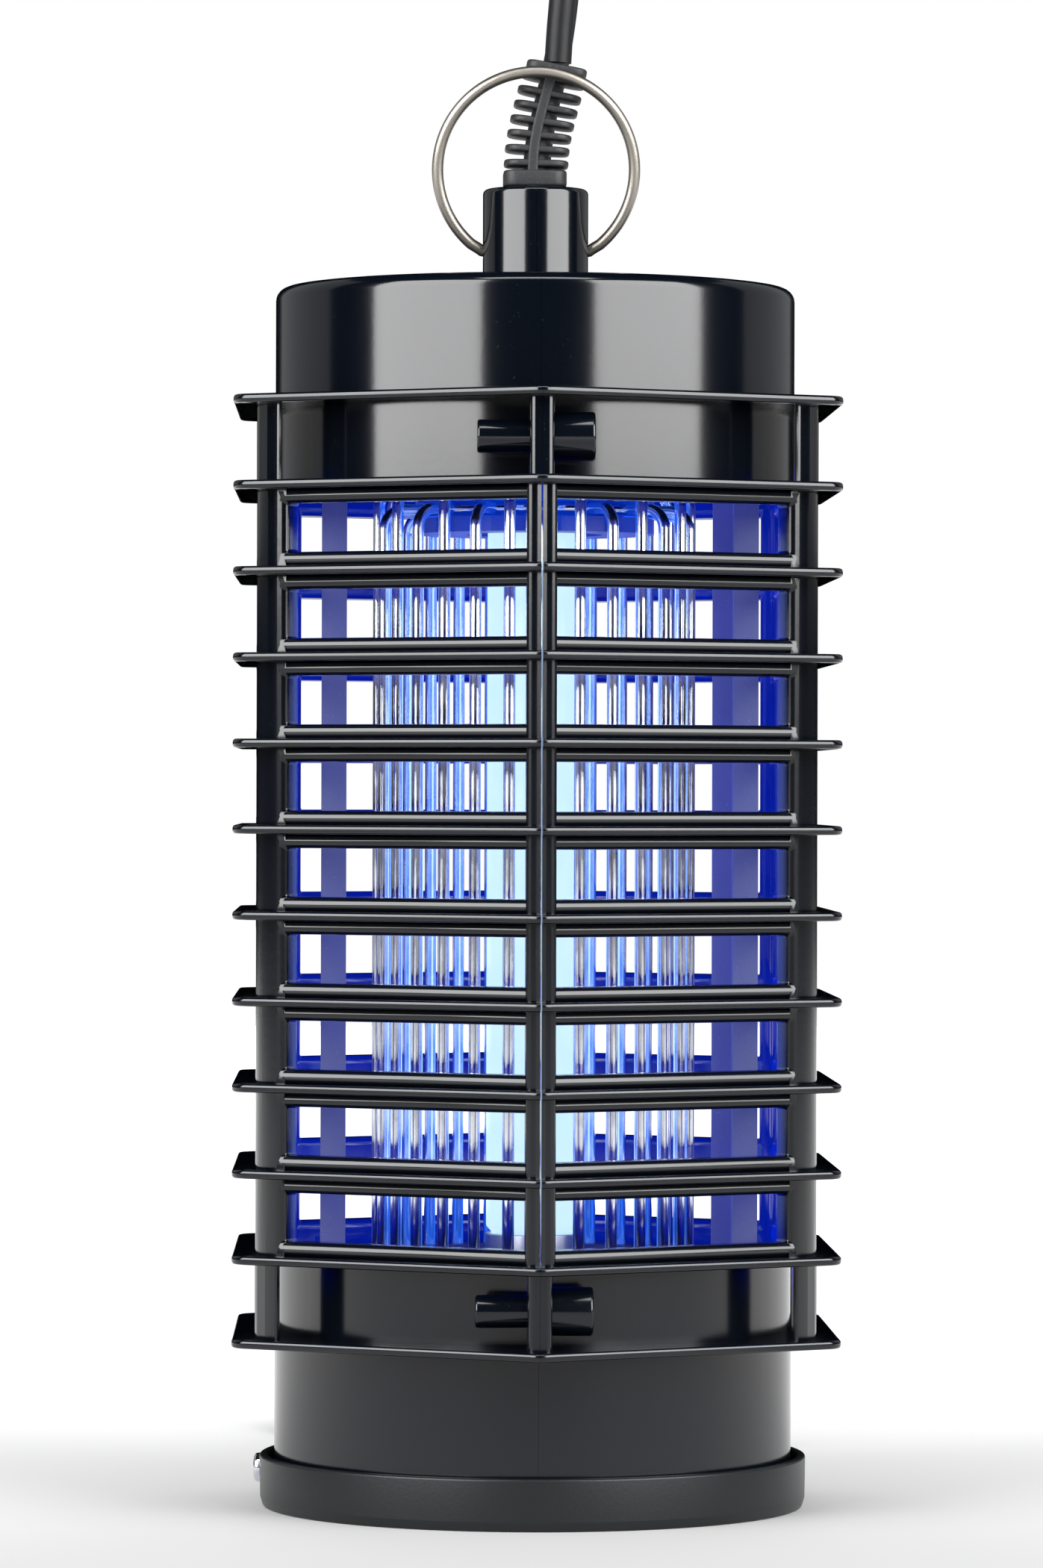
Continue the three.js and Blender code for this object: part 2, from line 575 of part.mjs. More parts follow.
// ---- Deck and lower carrier ----
const DUCT_LEFT = [-36.4, -32.1];
const DUCT_RIGHT = [34.4, 38.7];
const DUCT_Y = [6, 11.5];
function deck() {
  const top = DECK_Z + DECK_THICK;
  const plate = disc(BAND_R - WALL - GAP, DECK_Z, top);
  const pillars = PILLARS.map(([x, y]) => rod("z", 3, top - 0.5, BOARD_Z - GAP, x, y, 16));
  const holes = [
    box(-9.4, 9.4, -6.4, 6.4, DECK_Z - 1, top + 1),
    ...PILLARS.map(([x, y]) => rod("z", 1.3, top + 1, BOARD_Z, x, y, 8)),
    ...HUB_SCREWS.map(([x, y]) => rod("z", 1.3, DECK_Z - 1, top + 1, x, y, 8)),
    rod("z", 1.3, DECK_Z - 1, top + 1, ...HV_A, 8),
    rod("z", 1.3, DECK_Z - 1, top + 1, ...HV_B, 8),
    box(DUCT_LEFT[0] + 1, DUCT_LEFT[1] - 1, DUCT_Y[0] + 1, DUCT_Y[1] - 0.9, DECK_Z - 1, top + 1),
  ];
  piece("electronics_deck", cut(join(plate, ...pillars), ...holes), satin);
  HUB_SCREWS.forEach(([x, y], i) => {
    const screw = piece("hub_screw_" + (i + 1), panScrew(2.1, 1.4, 0.9, 8.6), zinc);
    screw.position.set(x, y, top + GAP);
  });
}

function lowerCarrier() {
  const z = CARRIER_Z;
  const rim = washer(LEDGE_R - 1.4, BAND_R - WALL - GAP, z, z + 2, ROUND);
  const seat = disc(11.5, z - 8.4, z + 3, 32);
  const socketRing = washer(24.2, 29.2, z + 2.5, z + 7.6, 28);
  const spokes = [45, 135, 225, 315].map((turn) => {
    const arm = box(10, BAND_R - WALL - 1.2, -1.6, 1.6, z, z + 2);
    const web = box(10, 29, -1.6, 1.6, z, z + 3);
    return join(arm, web).rotate([0, 0, turn]);
  });
  const sockets = [];
  const socketFloor = GRID_BOTTOM - GAP;
  for (let k = 0; k < ROD_COUNT; k++)
    sockets.push(rod("z", ROD_R + GAP, socketFloor, z + 9, ...polar(ROD_CIRCLE, wireTurn(k)), 6));
  const holder = box(-9.3, 9.3, -6.3, 6.3, LAMP_LOW - GAP - 10 - GAP, z + 8);
  const leadWay = box(-14, -9, -1.4, 1.4, z - 3.6, z + 4);
  const whole = join(rim, seat, socketRing, ...spokes);
  piece("lower_carrier", cut(whole, holder, leadWay, ...sockets), satin);
}

// The open channels beside the grid that carry the lower lamp leads.
function wireDucts() {
  const [low, high] = [CARRIER_Z + 3.8, DECK_Z - 2.1];
  const [y0, y1] = DUCT_Y;
  const wall = 0.8;
  const channel = ([x0, x1]) =>
    cut(
      box(x0, x1, y0, y1, low, high),
      box(x0 + wall, x1 - wall, y0 + wall, y1 + 1, low - 1, high + 1),
    );
  piece("left_wire_duct", channel(DUCT_LEFT), greyPlastic);
  const flange = box(31, DUCT_RIGHT[0] + 0.5, y1 - 0.9, y1, low, high);
  piece("right_wire_duct", join(channel(DUCT_RIGHT), flange), greyPlastic);
}

// ---- Electronics ----
function electronics() {
  const top = BOARD_Z + 1.6;
  const holes = PILLARS.map(([x, y]) => rod("z", 1.4, BOARD_Z - 1, top + 1, x, y, 8));
  piece("circuit_board", cut(disc(36, BOARD_Z, top, 40), ...holes), boardGreen);
  PILLARS.forEach(([x, y], i) => {
    const screw = piece("board_screw_" + (i + 1), panScrew(2.2, 1.5, 1, 6.4), zinc);
    screw.position.set(x, y, top + GAP);
  });
  const on = top + GAP;
  transformer(on);
  piece("film_capacitor_1", box(-14, -2, 14, 20, on, on + 10), filmRed);
  piece("film_capacitor_2", box(2, 14, 14, 20, on, on + 10), filmRed);
  piece("film_capacitor_3", box(-6, 6, 22.5, 27, on, on + 8), filmRed);
  piece("electrolytic_capacitor", rod("z", 5, on, on + 11.5, -16, -20, 20), canBlue);
  const toroid = new THREE.TorusGeometry(5.4, 2.6, 8, 16).translate(-22, 2, on + 2.6);
  piece("ballast_choke", toSolid(toroid), copper);
  piece("switching_transistor", box(-4, 6, -24, -19.5, on, on + 11), ferrite);
  piece("fuse", rod("x", 2.4, 8, 24, -20, on + 2.4, 12), wireWhite);
}

// An E core on the board, with two window slots and the winding round its middle leg.
function transformer(on) {
  const [low, high] = [on + 3, on + 10]; // the slots' floor and roof
  const slots = [[12, 16], [20, 24]].map(([x0, x1]) => box(x0, x1, -10, 10, low, high));
  piece("transformer_core", cut(box(9, 27, -9, 9, on, on + 13), ...slots), ferrite);
  const winding = box(12 + GAP, 24 - GAP, -12, 12, low + GAP, high - GAP);
  const leg = box(16 - GAP, 20 + GAP, -9 - GAP, 9 + GAP, low - 1, high + 1);
  piece("transformer_winding", cut(winding, leg), copper);
}

function leads() {
  const on = BOARD_Z + 1.6 + GAP;
  const supply = [
    [0, 0, NECK_TOP - 5.9], [0, 0, 213], [-0.5, -1.5, 208], [-3, -5, 203],
    [-6, -9, 199], [-7.6, -12, 195], [-8, -13, on],
  ];
  piece("supply_lead_inner", tube(supply, 1.5), wireWhite);
  const lampLead = [
    [-28, 8.8, BOARD_Z - 3.2], [-31.5, 8.8, BOARD_Z - 3.6], [-34.1, 8.8, BOARD_Z - 6],
    [-34.25, 8.8, DECK_Z], [-34.25, 8.8, 110], [-34.25, 8.8, 44], [-33.6, 8.4, 36],
    [-30.6, 7.2, 32.2], [-24, 4.4, 31], [-16, 1.4, 31], [-12.2, 0, 31],
  ];
  piece("lower_lamp_lead", tube(lampLead, 0.8, 6), wireWhite);
  const rise = (level, place) => rod("z", 0.8, level + ROD_R + GAP, BOARD_Z - GAP, ...place, 8);
  piece("high_voltage_lead_a", rise(LEVEL_A, HV_A), wireRed);
  piece("high_voltage_lead_b", rise(LEVEL_B, HV_B), wireRed);
}

shells();
tray();
hangingRing();
strainRelief();
cord();
plug();
lamp();
lampholders();
grid();
deck();
lowerCarrier();
wireDucts();
electronics();
leads();

export default group;
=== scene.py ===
import json
import math

import bmesh
import bpy
from mathutils import Matrix, Vector


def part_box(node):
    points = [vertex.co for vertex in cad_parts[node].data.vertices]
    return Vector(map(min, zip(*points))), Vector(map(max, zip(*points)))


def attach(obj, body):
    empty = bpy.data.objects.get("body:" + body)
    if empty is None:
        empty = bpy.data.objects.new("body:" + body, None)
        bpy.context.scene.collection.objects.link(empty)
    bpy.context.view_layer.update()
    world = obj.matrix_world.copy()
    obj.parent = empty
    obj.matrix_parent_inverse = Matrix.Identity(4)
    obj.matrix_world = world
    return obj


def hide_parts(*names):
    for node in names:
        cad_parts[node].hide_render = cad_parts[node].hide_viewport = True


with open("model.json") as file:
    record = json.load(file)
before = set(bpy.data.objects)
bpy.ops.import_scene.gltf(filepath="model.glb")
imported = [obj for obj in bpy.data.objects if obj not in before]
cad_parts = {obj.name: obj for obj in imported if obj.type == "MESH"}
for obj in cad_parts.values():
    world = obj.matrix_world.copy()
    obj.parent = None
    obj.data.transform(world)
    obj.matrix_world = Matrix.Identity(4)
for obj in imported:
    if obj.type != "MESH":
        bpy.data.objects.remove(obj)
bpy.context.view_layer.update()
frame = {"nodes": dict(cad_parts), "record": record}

# electric bug zapper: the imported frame, dressed with smooth shells, wires, cord and finishes
# lengths are in mm unless a note says otherwise, and mm turns them into the scene's metres
mm = 0.001
slotOf = {part["node"]: part["material_slot"] for part in frame["record"]["subparts"]}

# camera: a long lens, level with the lower middle of the cage
camera = {"place": (-27.2, -1193, 122.2), "yaw": -1.203, "pitch": 0.04, "roll": 0.15,
          "lens": 160.3, "sensor": 36, "near": 0.05, "far": 50}


def linked(name, data):
    made = bpy.data.objects.new(name, data)
    bpy.context.scene.collection.objects.link(made)
    return made


def makeCamera():
    data = bpy.data.cameras.new("camera")
    data.lens, data.sensor_width = camera["lens"], camera["sensor"]
    data.clip_start, data.clip_end = camera["near"], camera["far"]
    eye = linked("camera", data)
    eye.location = Vector(camera["place"]) * mm
    turn = Matrix.Rotation(math.radians(camera["yaw"]), 4, "Z")
    tilt = Matrix.Rotation(math.radians(90 + camera["pitch"]), 4, "X")
    roll = Matrix.Rotation(math.radians(camera["roll"]), 4, "Z")
    eye.rotation_euler = (turn @ tilt @ roll).to_euler()
    bpy.context.scene.camera = eye


makeCamera()
print("camera made")


# materials: a socket that takes part in arithmetic, and a paint that makes the nodes of one material
class Sock:
    # an output that takes part in arithmetic: each operation adds a Math node
    def __init__(self, paint, socket):
        self.paint, self.socket = paint, socket

    def maths(self, operation, other=None, swap=False):
        pair = [self] if other is None else [other, self] if swap else [self, other]
        return self.paint.node("Math", {"operation": operation}, dict(enumerate(pair)))

    def __add__(self, other):
        return self.maths("ADD", other)

    __radd__ = __add__

    def __sub__(self, other):
        return self.maths("SUBTRACT", other)

    def __rsub__(self, other):
        return self.maths("SUBTRACT", other, True)

    def __mul__(self, other):
        return self.maths("MULTIPLY", other)

    __rmul__ = __mul__

    def __truediv__(self, other):
        return self.maths("DIVIDE", other)

    def __rtruediv__(self, other):
        return self.maths("DIVIDE", other, True)

    def __abs__(self):
        return self.maths("ABSOLUTE")

    def largest(self, other):
        return self.maths("MAXIMUM", other)

    # from 0 to 1 while the value goes from low to high, eased at both ends
    def step(self, low, high):
        spread = {"interpolation_type": "SMOOTHSTEP"}
        return self.paint.node("MapRange", spread, {0: self, 1: low, 2: high, 3: 0.0, 4: 1.0})


class Paint:
    # the nodes of one material
    def __init__(self, name):
        self.material = bpy.data.materials.new(name)
        self.material.use_nodes = True
        self.tree = self.material.node_tree
        self.tree.nodes.clear()

    # out names the output wanted, or None for all of them
    def node(self, kind, settings=None, sockets=None, out=0):
        made = self.tree.nodes.new("ShaderNode" + kind)
        for name, value in (settings or {}).items():
            setattr(made, name, value)
        for name, value in (sockets or {}).items():
            if isinstance(value, Sock):
                self.tree.links.new(value.socket, made.inputs[name])
            else:
                made.inputs[name].default_value = value
        return [Sock(self, o) for o in made.outputs] if out is None else Sock(self, made.outputs[out])

    def place(self):
        return self.node("TexCoord", out="Object")

    def stretched(self, scale):
        return self.node("Mapping", {}, {"Vector": self.place(), "Scale": scale})

    def parts(self, vector):
        return self.node("SeparateXYZ", {}, {0: vector}, None)

    def noise(self, scale, detail=3.0, roughness=0.5, vector=None):
        sockets = {"Vector": vector or self.place(), "Scale": scale, "Detail": detail, "Roughness": roughness}
        return self.node("TexNoise", {}, sockets)

    # the Mix node's colours are its sockets 6 and 7, and its colour comes out of output 2
    def mix(self, factor, first, second):
        first, second = ((*c, 1) if isinstance(c, tuple) else c for c in (first, second))
        return self.node("Mix", {"data_type": "RGBA"}, {0: factor, 6: first, 7: second}, 2)

    def bump(self, height, distance):
        return self.node("Bump", {}, {"Height": height, "Distance": distance, "Strength": 1.0})

    def finish(self, **values):
        sockets = {name.replace("_", " "): value for name, value in values.items()}
        for name in ("Base Color", "Emission Color"):
            if isinstance(sockets.get(name), tuple):
                sockets[name] = (*sockets[name], 1)
        shader = self.node("BsdfPrincipled", {}, sockets)
        self.node("OutputMaterial", {}, {"Surface": shader}, None)
        return self.material


def meshObject(name, points, faces, finish):
    mesh = bpy.data.meshes.new(name)
    mesh.from_pydata([tuple(p) for p in points], [], faces)
    mesh.validate()
    made = linked(name, mesh)
    tidyNormals(made)
    dress(made, finish)
    return made


def tidyNormals(piece):
    work = bmesh.new()
    work.from_mesh(piece.data)
    bmesh.ops.remove_doubles(work, verts=work.verts, dist=1e-7)
    bmesh.ops.recalc_face_normals(work, faces=work.faces)
    work.to_mesh(piece.data)
    work.free()


# smooth shading, with the edges that turn by more than crease degrees kept sharp
def dress(piece, finish, crease=35):
    piece.data.materials.clear()
    piece.data.materials.append(finish)
    piece.data.polygons.foreach_set("use_smooth", [True] * len(piece.data.polygons))
    piece.data.set_sharp_from_angle(angle=math.radians(crease))


# corners are (a, b) or (a, b, radius), and a radius rounds that corner
def rounded(corners, steps=4, closed=True):
    line = []
    for i, corner in enumerate(corners):
        here = Vector(corner[:2])
        radius = corner[2] if len(corner) > 2 else 0
        if not radius or (not closed and i in (0, len(corners) - 1)):
            line.append(here)
            continue
        back = (Vector(corners[i - 1][:2]) - here).normalized()
        ahead = (Vector(corners[(i + 1) % len(corners)][:2]) - here).normalized()
        half = back.angle(ahead) / 2
        centre = here + (back + ahead).normalized() * radius / math.sin(half)
        first = here + back * radius / math.tan(half) - centre
        last = here + ahead * radius / math.tan(half) - centre
        turn = first.angle(last)
        for k in range(steps + 1):
            share = k / steps
            mixed = first * math.sin((1 - share) * turn) + last * math.sin(share * turn)
            line.append(centre + mixed / math.sin(turn))
    return line


# joins rings of equally many points into a skin: capped at both ends, or closed on itself
def skin(rings, looped=False):
    count = len(rings[0])
    points = [p for ring in rings for p in ring]
    faces = []
    for i in range(len(rings) if looped else len(rings) - 1):
        low, high = i * count, (i + 1) % len(rings) * count
        for j in range(count):
            k = (j + 1) % count
            faces.append((low + j, low + k, high + k, high + j))
    if not looped:
        faces += [tuple(range(count))[::-1], tuple(range(len(points) - count, len(points)))]
    return points, faces


# turns a profile of (radius, height) points about Z: it ends on the axis twice, or closes on itself as a ring
def turned(name, profile, finish, steps=96, at=None):
    points, faces, rows = [], [], []
    onAxis = 1e-6
    for radius, height in profile:
        if radius < onAxis:
            rows.append([len(points)] * steps)
            points.append(Vector((0, 0, height)))
            continue
        rows.append(list(range(len(points), len(points) + steps)))
        for k in range(steps):
            turn = math.tau * k / steps
            points.append(Vector((radius * math.cos(turn), radius * math.sin(turn), height)))
    closes = profile[0][0] >= onAxis or profile[-1][0] >= onAxis
    for i in range(len(rows) if closes else len(rows) - 1):
        low, high = rows[i], rows[(i + 1) % len(rows)]
        for k in range(steps):
            n = (k + 1) % steps
            corners = [low[k], low[n], high[n], high[k]]
            face = [c for j, c in enumerate(corners) if c != corners[j - 1]]
            if len(face) > 2:
                faces.append(face)
    move = at or Matrix.Identity(4)
    return meshObject(name, [(move @ p) * mm for p in points], faces, finish)


# a section carried along points without twisting
def swept(name, path, section, finish, up=(0, 1, 0), looped=False):
    path = [Vector(p) for p in path]
    rings = []
    for i, here in enumerate(path):
        before = path[i - 1] if i or looped else here
        after = path[(i + 1) % len(path)] if i < len(path) - 1 or looped else here
        ahead = (after - before).normalized()
        side = ahead.cross(Vector(up)).normalized()
        top = side.cross(ahead)
        rings.append([(here + side * a + top * b) * mm for a, b in section(i / (len(path) - 1))])
    points, faces = skin(rings, looped)
    return meshObject(name, points, faces, finish)


def circle(radius, sides=16):
    angles = [math.tau * k / sides for k in range(sides)]
    return [(radius * math.cos(a), radius * math.sin(a)) for a in angles]


# how far in and how high each ring of a slab with rounded edges is, from its bottom edge to its top edge
def easedRings(low, high, ease, steps):
    for k in range(2 * steps + 2):
        turn = math.pi / 2 * (k if k <= steps else k - 1) / steps - math.pi / 2
        edge = low + ease if k <= steps else high - ease
        yield ease * (1 - math.cos(turn)), edge + ease * math.sin(turn)


# an outline standing up between heights, with its top and bottom edges eased
def slab(name, outline, low, high, ease, finish, at=None, steps=4):
    move = at or Matrix.Identity(4)
    rings = []
    for inset, height in easedRings(low, high, ease, steps):
        ring = [Vector((*insetPoint(outline, i, inset), height)) for i in range(len(outline))]
        rings.append([(move @ p) * mm for p in ring])
    points, faces = skin(rings)
    return meshObject(name, points, faces, finish)


# the mitred corner of an outline moved inward, kept short where the corner is sharp
def insetPoint(outline, i, amount):
    here, before, after = outline[i], outline[i - 1], outline[(i + 1) % len(outline)]
    first, second = (here - before).normalized(), (after - here).normalized()
    inward = Vector((-first.y - second.y, first.x + second.x)).normalized()
    stretch = max(0.5, inward.dot(Vector((-first.y, first.x))))
    return here + inward * amount / stretch


def boxOutline(wide, deep, radius, middle=(0, 0), steps=4):
    x, y = middle
    corners = [(x - wide / 2, y - deep / 2, radius), (x + wide / 2, y - deep / 2, radius),
               (x + wide / 2, y + deep / 2, radius), (x - wide / 2, y + deep / 2, radius)]
    return rounded(corners, steps)


def block(name, low, high, finish, ease):
    wide, deep = high[0] - low[0], high[1] - low[1]
    middle = ((low[0] + high[0]) / 2, (low[1] + high[1]) / 2)
    return slab(name, boxOutline(wide, deep, ease, middle, 2), low[2], high[2], ease * 0.99, finish, steps=2)


# joins, cuts or crosses one piece with others, which are used up
def combine(piece, others, operation):
    for other in others:
        change = piece.modifiers.new("combine", "BOOLEAN")
        change.operation, change.solver, change.object = operation, "MANIFOLD", other
        bakeModifiers(piece)
        bpy.data.objects.remove(other)
    return piece


def bakeModifiers(piece):
    shape = piece.evaluated_get(bpy.context.evaluated_depsgraph_get())
    mesh = bpy.data.meshes.new_from_object(shape)
    piece.modifiers.clear()
    piece.data = mesh


# one object made of many, for a single cut or join
def merged(name, pieces):
    work = bmesh.new()
    for piece in pieces:
        work.from_mesh(piece.data)
    mesh = bpy.data.meshes.new(name)
    work.to_mesh(mesh)
    work.free()
    mesh.materials.append(pieces[0].data.materials[0])
    made = linked(name, mesh)
    for piece in pieces:
        bpy.data.objects.remove(piece)
    return made


# hands a finished piece to the frame: its body, and the nodes it stands for, which it hides; it shades the
# piece again with its own finish
def fit(piece, body, nodes, crease=35):
    dress(piece, piece.data.materials[0], crease)
    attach(piece, body)
    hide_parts(*nodes)
    return piece


# finishes: moulded plastic is slightly cloudy, with wiped smears and specks of dust
plastic = {"cloud": 28.0, "smear": 9.0, "speck": 2600.0, "wipe": 0.09, "paler": 1.6, "softer": 1.25,
           "underFin": 0.03}
# where the painted lamp light falls on what faces the lamp, in metres: between these heights, and nearer the
# axis than these
paintedLightReach = {"bottom": (0.034, 0.044), "top": (0.1775, 0.171),
             "cage": (0.0468, 0.0425), "rods": (0.040, 0.034)}
unlit = (0.0, 0.0, 0.0)


def moulded(name, tone, roughness, grain, relief, sheen, dust, paintedLampLight=None):
    paint = Paint(name)
    cloud = paint.noise(plastic["cloud"], 4.0)
    smear = paint.noise(plastic["smear"], 5.0, 0.6, paint.stretched((1.0, 1.0, 0.35)))
    speck = paint.noise(plastic["speck"], 1.0).step(0.72, 0.8) * dust
    pale = tuple(min(1.0, 0.1 + plastic["paler"] * c) for c in tone)
    soft = tuple(c * plastic["softer"] for c in tone)
    colour = paint.mix(speck, paint.mix(cloud.step(0.35, 0.75), tone, soft), pale)
    rough = (smear.step(0.3, 0.8) * plastic["wipe"] + roughness - 0.03) + speck * 0.3
    if paintedLampLight:  # the undersides of the fins are smoother than the outside
        under = paint.parts(paint.node("NewGeometry", out="Normal"))[2].step(-0.75, -0.97)
        rough = rough * (1 - under) + under * plastic["underFin"]
    skinBump = paint.bump(paint.noise(grain, 2.0, 0.6), relief * mm)
    values = {"Base_Color": colour, "Roughness": rough, "Normal": skinBump, "Specular_IOR_Level": sheen}
    # painted lamp light: an emitted blue on the faces inside the cage that face the lamp
    if paintedLampLight:
        values["Emission_Color"] = paintedInnerLight(paint, paintedLampLight)
        values["Emission_Strength"] = 1.0
    return paint.finish(**values)


# 1 where a surface faces the axis of the lamp, down to 0 where it faces away, and the place it is at: the
# mask of the painted lamp light
def facingLamp(paint):
    x, y, z = paint.parts(paint.node("NewGeometry", out="Position"))
    nx, ny, nz = paint.parts(paint.node("NewGeometry", out="Normal"))
    outward = (nx * x + ny * y) / ((x * x + y * y).maths("SQRT") + 0.0001)
    return outward.step(0.35, -0.6), x, y, z


# painted lamp light: an emitted blue on what faces the lamp inside the cage, out to the hexagon's faces,
# patchy by noise
def paintedInnerLight(paint, paintedLampLight):
    facing, x, y, z = facingLamp(paint)
    slant = math.sin(math.pi / 3)
    apothem = abs(x).largest(abs(x * 0.5 + y * slant)).largest(abs(x * 0.5 - y * slant))
    height = z.step(*paintedLightReach["bottom"]) * z.step(*paintedLightReach["top"])
    patch = paint.noise(45.0, 2.0).step(0.2, 0.8) * 0.35 + 0.75
    return paint.mix(apothem.step(*paintedLightReach["cage"]) * facing * height * patch, unlit, paintedLampLight)


# drawn or plated metal, with fine lines and stains
def metal(name, tone, roughness, scale, relief, dull, paintedLampLight=None):
    paint = Paint(name)
    lines = paint.noise(420.0, 3.0, 0.6, paint.stretched(scale))
    stain = paint.noise(140.0, 4.0, 0.65)
    colour = paint.mix(stain.step(0.45, 0.8), tone, tuple(c * dull for c in tone))
    rough = stain.step(0.3, 0.8) * 0.1 + lines * 0.08 + roughness
    lineBump = paint.bump(lines, relief * mm)
    values = {"Base_Color": colour, "Metallic": 1.0, "Roughness": rough, "Normal": lineBump}
    # painted lamp light: an emitted blue on what faces the lamp near the axis, patchy with the stains
    if paintedLampLight:
        facing, x, y, z = facingLamp(paint)
        near = (x * x + y * y).maths("SQRT").step(*paintedLightReach["rods"])
        values["Emission_Color"] = paint.mix(facing * near * (stain * 0.8 + 0.6), unlit, paintedLampLight)
        values["Emission_Strength"] = 1.0
    return paint.finish(**values)


# the tube is pale in the middle and blue at both ends; heights in metres
lampLook = {"lowEnd": (0.048, 0.042), "highEnd": (0.169, 0.176), "ends": (0.16, 0.30, 0.85),
            "powder": ((0.60, 0.90, 1.0), (0.66, 0.93, 1.0)), "glass": (0.03, 0.035, 0.04), "strength": 0.95}


def lampGlass():
    paint = Paint("uvLamp")
    z = paint.parts(paint.place())[2]
    ends = z.step(*lampLook["lowEnd"]).largest(z.step(*lampLook["highEnd"]))
    powder = paint.noise(160.0, 3.0).step(0.2, 0.8)
    light = paint.mix(ends, paint.mix(powder, *lampLook["powder"]), lampLook["ends"])
    return paint.finish(Base_Color=lampLook["glass"], Roughness=0.25, Emission_Color=light,
                        Emission_Strength=lampLook["strength"])


def board():
    paint = Paint("circuitBoard")
    grid = paint.node("TexBrick", {}, {"Vector": paint.place(), "Scale": 160.0, "Mortar Size": 0.045})
    tracks = paint.noise(90.0, 1.0, 0.3).step(0.47, 0.5) * paint.noise(150.0, 1.0, 0.3).step(0.42, 0.46)
    line = paint.node("RGBToBW", {}, {0: grid})
    colour = paint.mix(tracks, (0.012, 0.10, 0.045), (0.03, 0.17, 0.07))
    return paint.finish(Base_Color=colour, Roughness=0.35 + line * 0.1, Normal=paint.bump(tracks, 0.04 * mm))


def winding():
    paint = Paint("copperWinding")
    turns = paint.node("TexWave", {"bands_direction": "Z"},
                       {"Vector": paint.place(), "Scale": 700.0, "Distortion": 0.4})
    shade = paint.node("RGBToBW", {}, {0: turns})
    # the bands go dark between the turns and bright on them: painted shade in the grooves and painted
    # highlight on the turns; they also make the bump
    colour = paint.mix(shade, (0.22, 0.07, 0.02), (0.62, 0.27, 0.11))
    return paint.finish(Base_Color=colour, Metallic=0.8, Roughness=0.3, Normal=paint.bump(shade, 0.12 * mm))


# the rod holders, close above the lamp, are painted with blue lamp light all over: an emitted glow, patchy by
# noise
def paintedHolderLight():
    paint = Paint("paintedHolderLight")
    patch = paint.noise(60.0, 3.0).step(0.25, 0.75)
    paintedLampLight = paint.mix(patch, (0.0, 0.008, 0.22), (0.0, 0.03, 0.46))
    return paint.finish(Base_Color=(0.01, 0.02, 0.05), Roughness=0.42, Emission_Color=paintedLampLight,
                        Emission_Strength=1.0, Normal=paint.bump(paint.noise(1500.0), 0.02 * mm))


# for each plastic: colour, roughness, scale and height of its grain, sheen, dust, and the painted lamp light
# on it
plastics = {
    "shell_gloss": ((0.0009, 0.0017, 0.0034), 0.15, 700.0, 0.004, 0.58, 0.12, (0.0, 0.009, 0.33)),
    "tray_satin": ((0.0045, 0.0058, 0.0068), 0.34, 1800.0, 0.02, 0.36, 0.1),
    "inner_plastic": ((0.010, 0.011, 0.014), 0.42, 1500.0, 0.02, 0.5, 0.2, (0.0, 0.004, 0.14)),
    "cord_pvc": ((0.003, 0.0033, 0.0042), 0.46, 1500.0, 0.03, 0.26, 0.1),
    "grained_pvc": ((0.010, 0.0105, 0.012), 0.5, 1000.0, 0.09, 0.42, 0.5),
    "ivory_plastic": ((0.60, 0.57, 0.48), 0.38, 1400.0, 0.015, 0.5, 0.1),
    "duct_plastic": ((0.075, 0.085, 0.12), 0.5, 2200.0, 0.05, 0.4, 0.6, (0.035, 0.045, 0.34)),
    "ferrite": ((0.035, 0.035, 0.038), 0.6, 2500.0, 0.04, 0.5, 0.3),
    "film_red": ((0.30, 0.035, 0.02), 0.22, 500.0, 0.03, 0.5, 0.05),
    "can_sleeve": ((0.012, 0.022, 0.07), 0.3, 700.0, 0.01, 0.5, 0.05),
    "lead_white": ((0.66, 0.66, 0.63), 0.45, 1300.0, 0.02, 0.5, 0.1),
    "lead_red": ((0.32, 0.016, 0.01), 0.45, 1300.0, 0.02, 0.5, 0.1),
}
# for each metal: colour, roughness, stretch and height of its fine lines, how far stains darken it, and the
# painted lamp light on it
metals = {
    "ring_nickel": ((0.34, 0.315, 0.28), 0.3, (1.0, 9.0, 1.0), 0.006, 0.75),
    "grid_chrome": ((0.84, 0.88, 0.95), 0.1, (1.0, 1.0, 0.25), 0.015, 0.8, (0.01, 0.09, 0.62)),
    "zinc_steel": ((0.62, 0.64, 0.66), 0.27, (4.0, 1.0, 1.0), 0.006, 0.75),
}


def camel(slot):
    first, *rest = slot.split("_")
    return first + "".join(word.title() for word in rest)


finishes = {slot: moulded(camel(slot), *look) for slot, look in plastics.items()}
finishes.update({slot: metal(camel(slot), *look) for slot, look in metals.items()})
finishes.update({"uv_lamp": lampGlass(), "circuit_board": board(), "copper_winding": winding()})
# the parts that hold the rods take the painted lamp light
held = paintedHolderLight()
for node, made in frame["nodes"].items():
    made.data.materials.clear()
    holdsRods = node in ("grid_hub", "grid_spacer", "grid_clamp")
    made.data.materials.append(held if holdsRods else finishes[slotOf[node]])
print("finishes made")

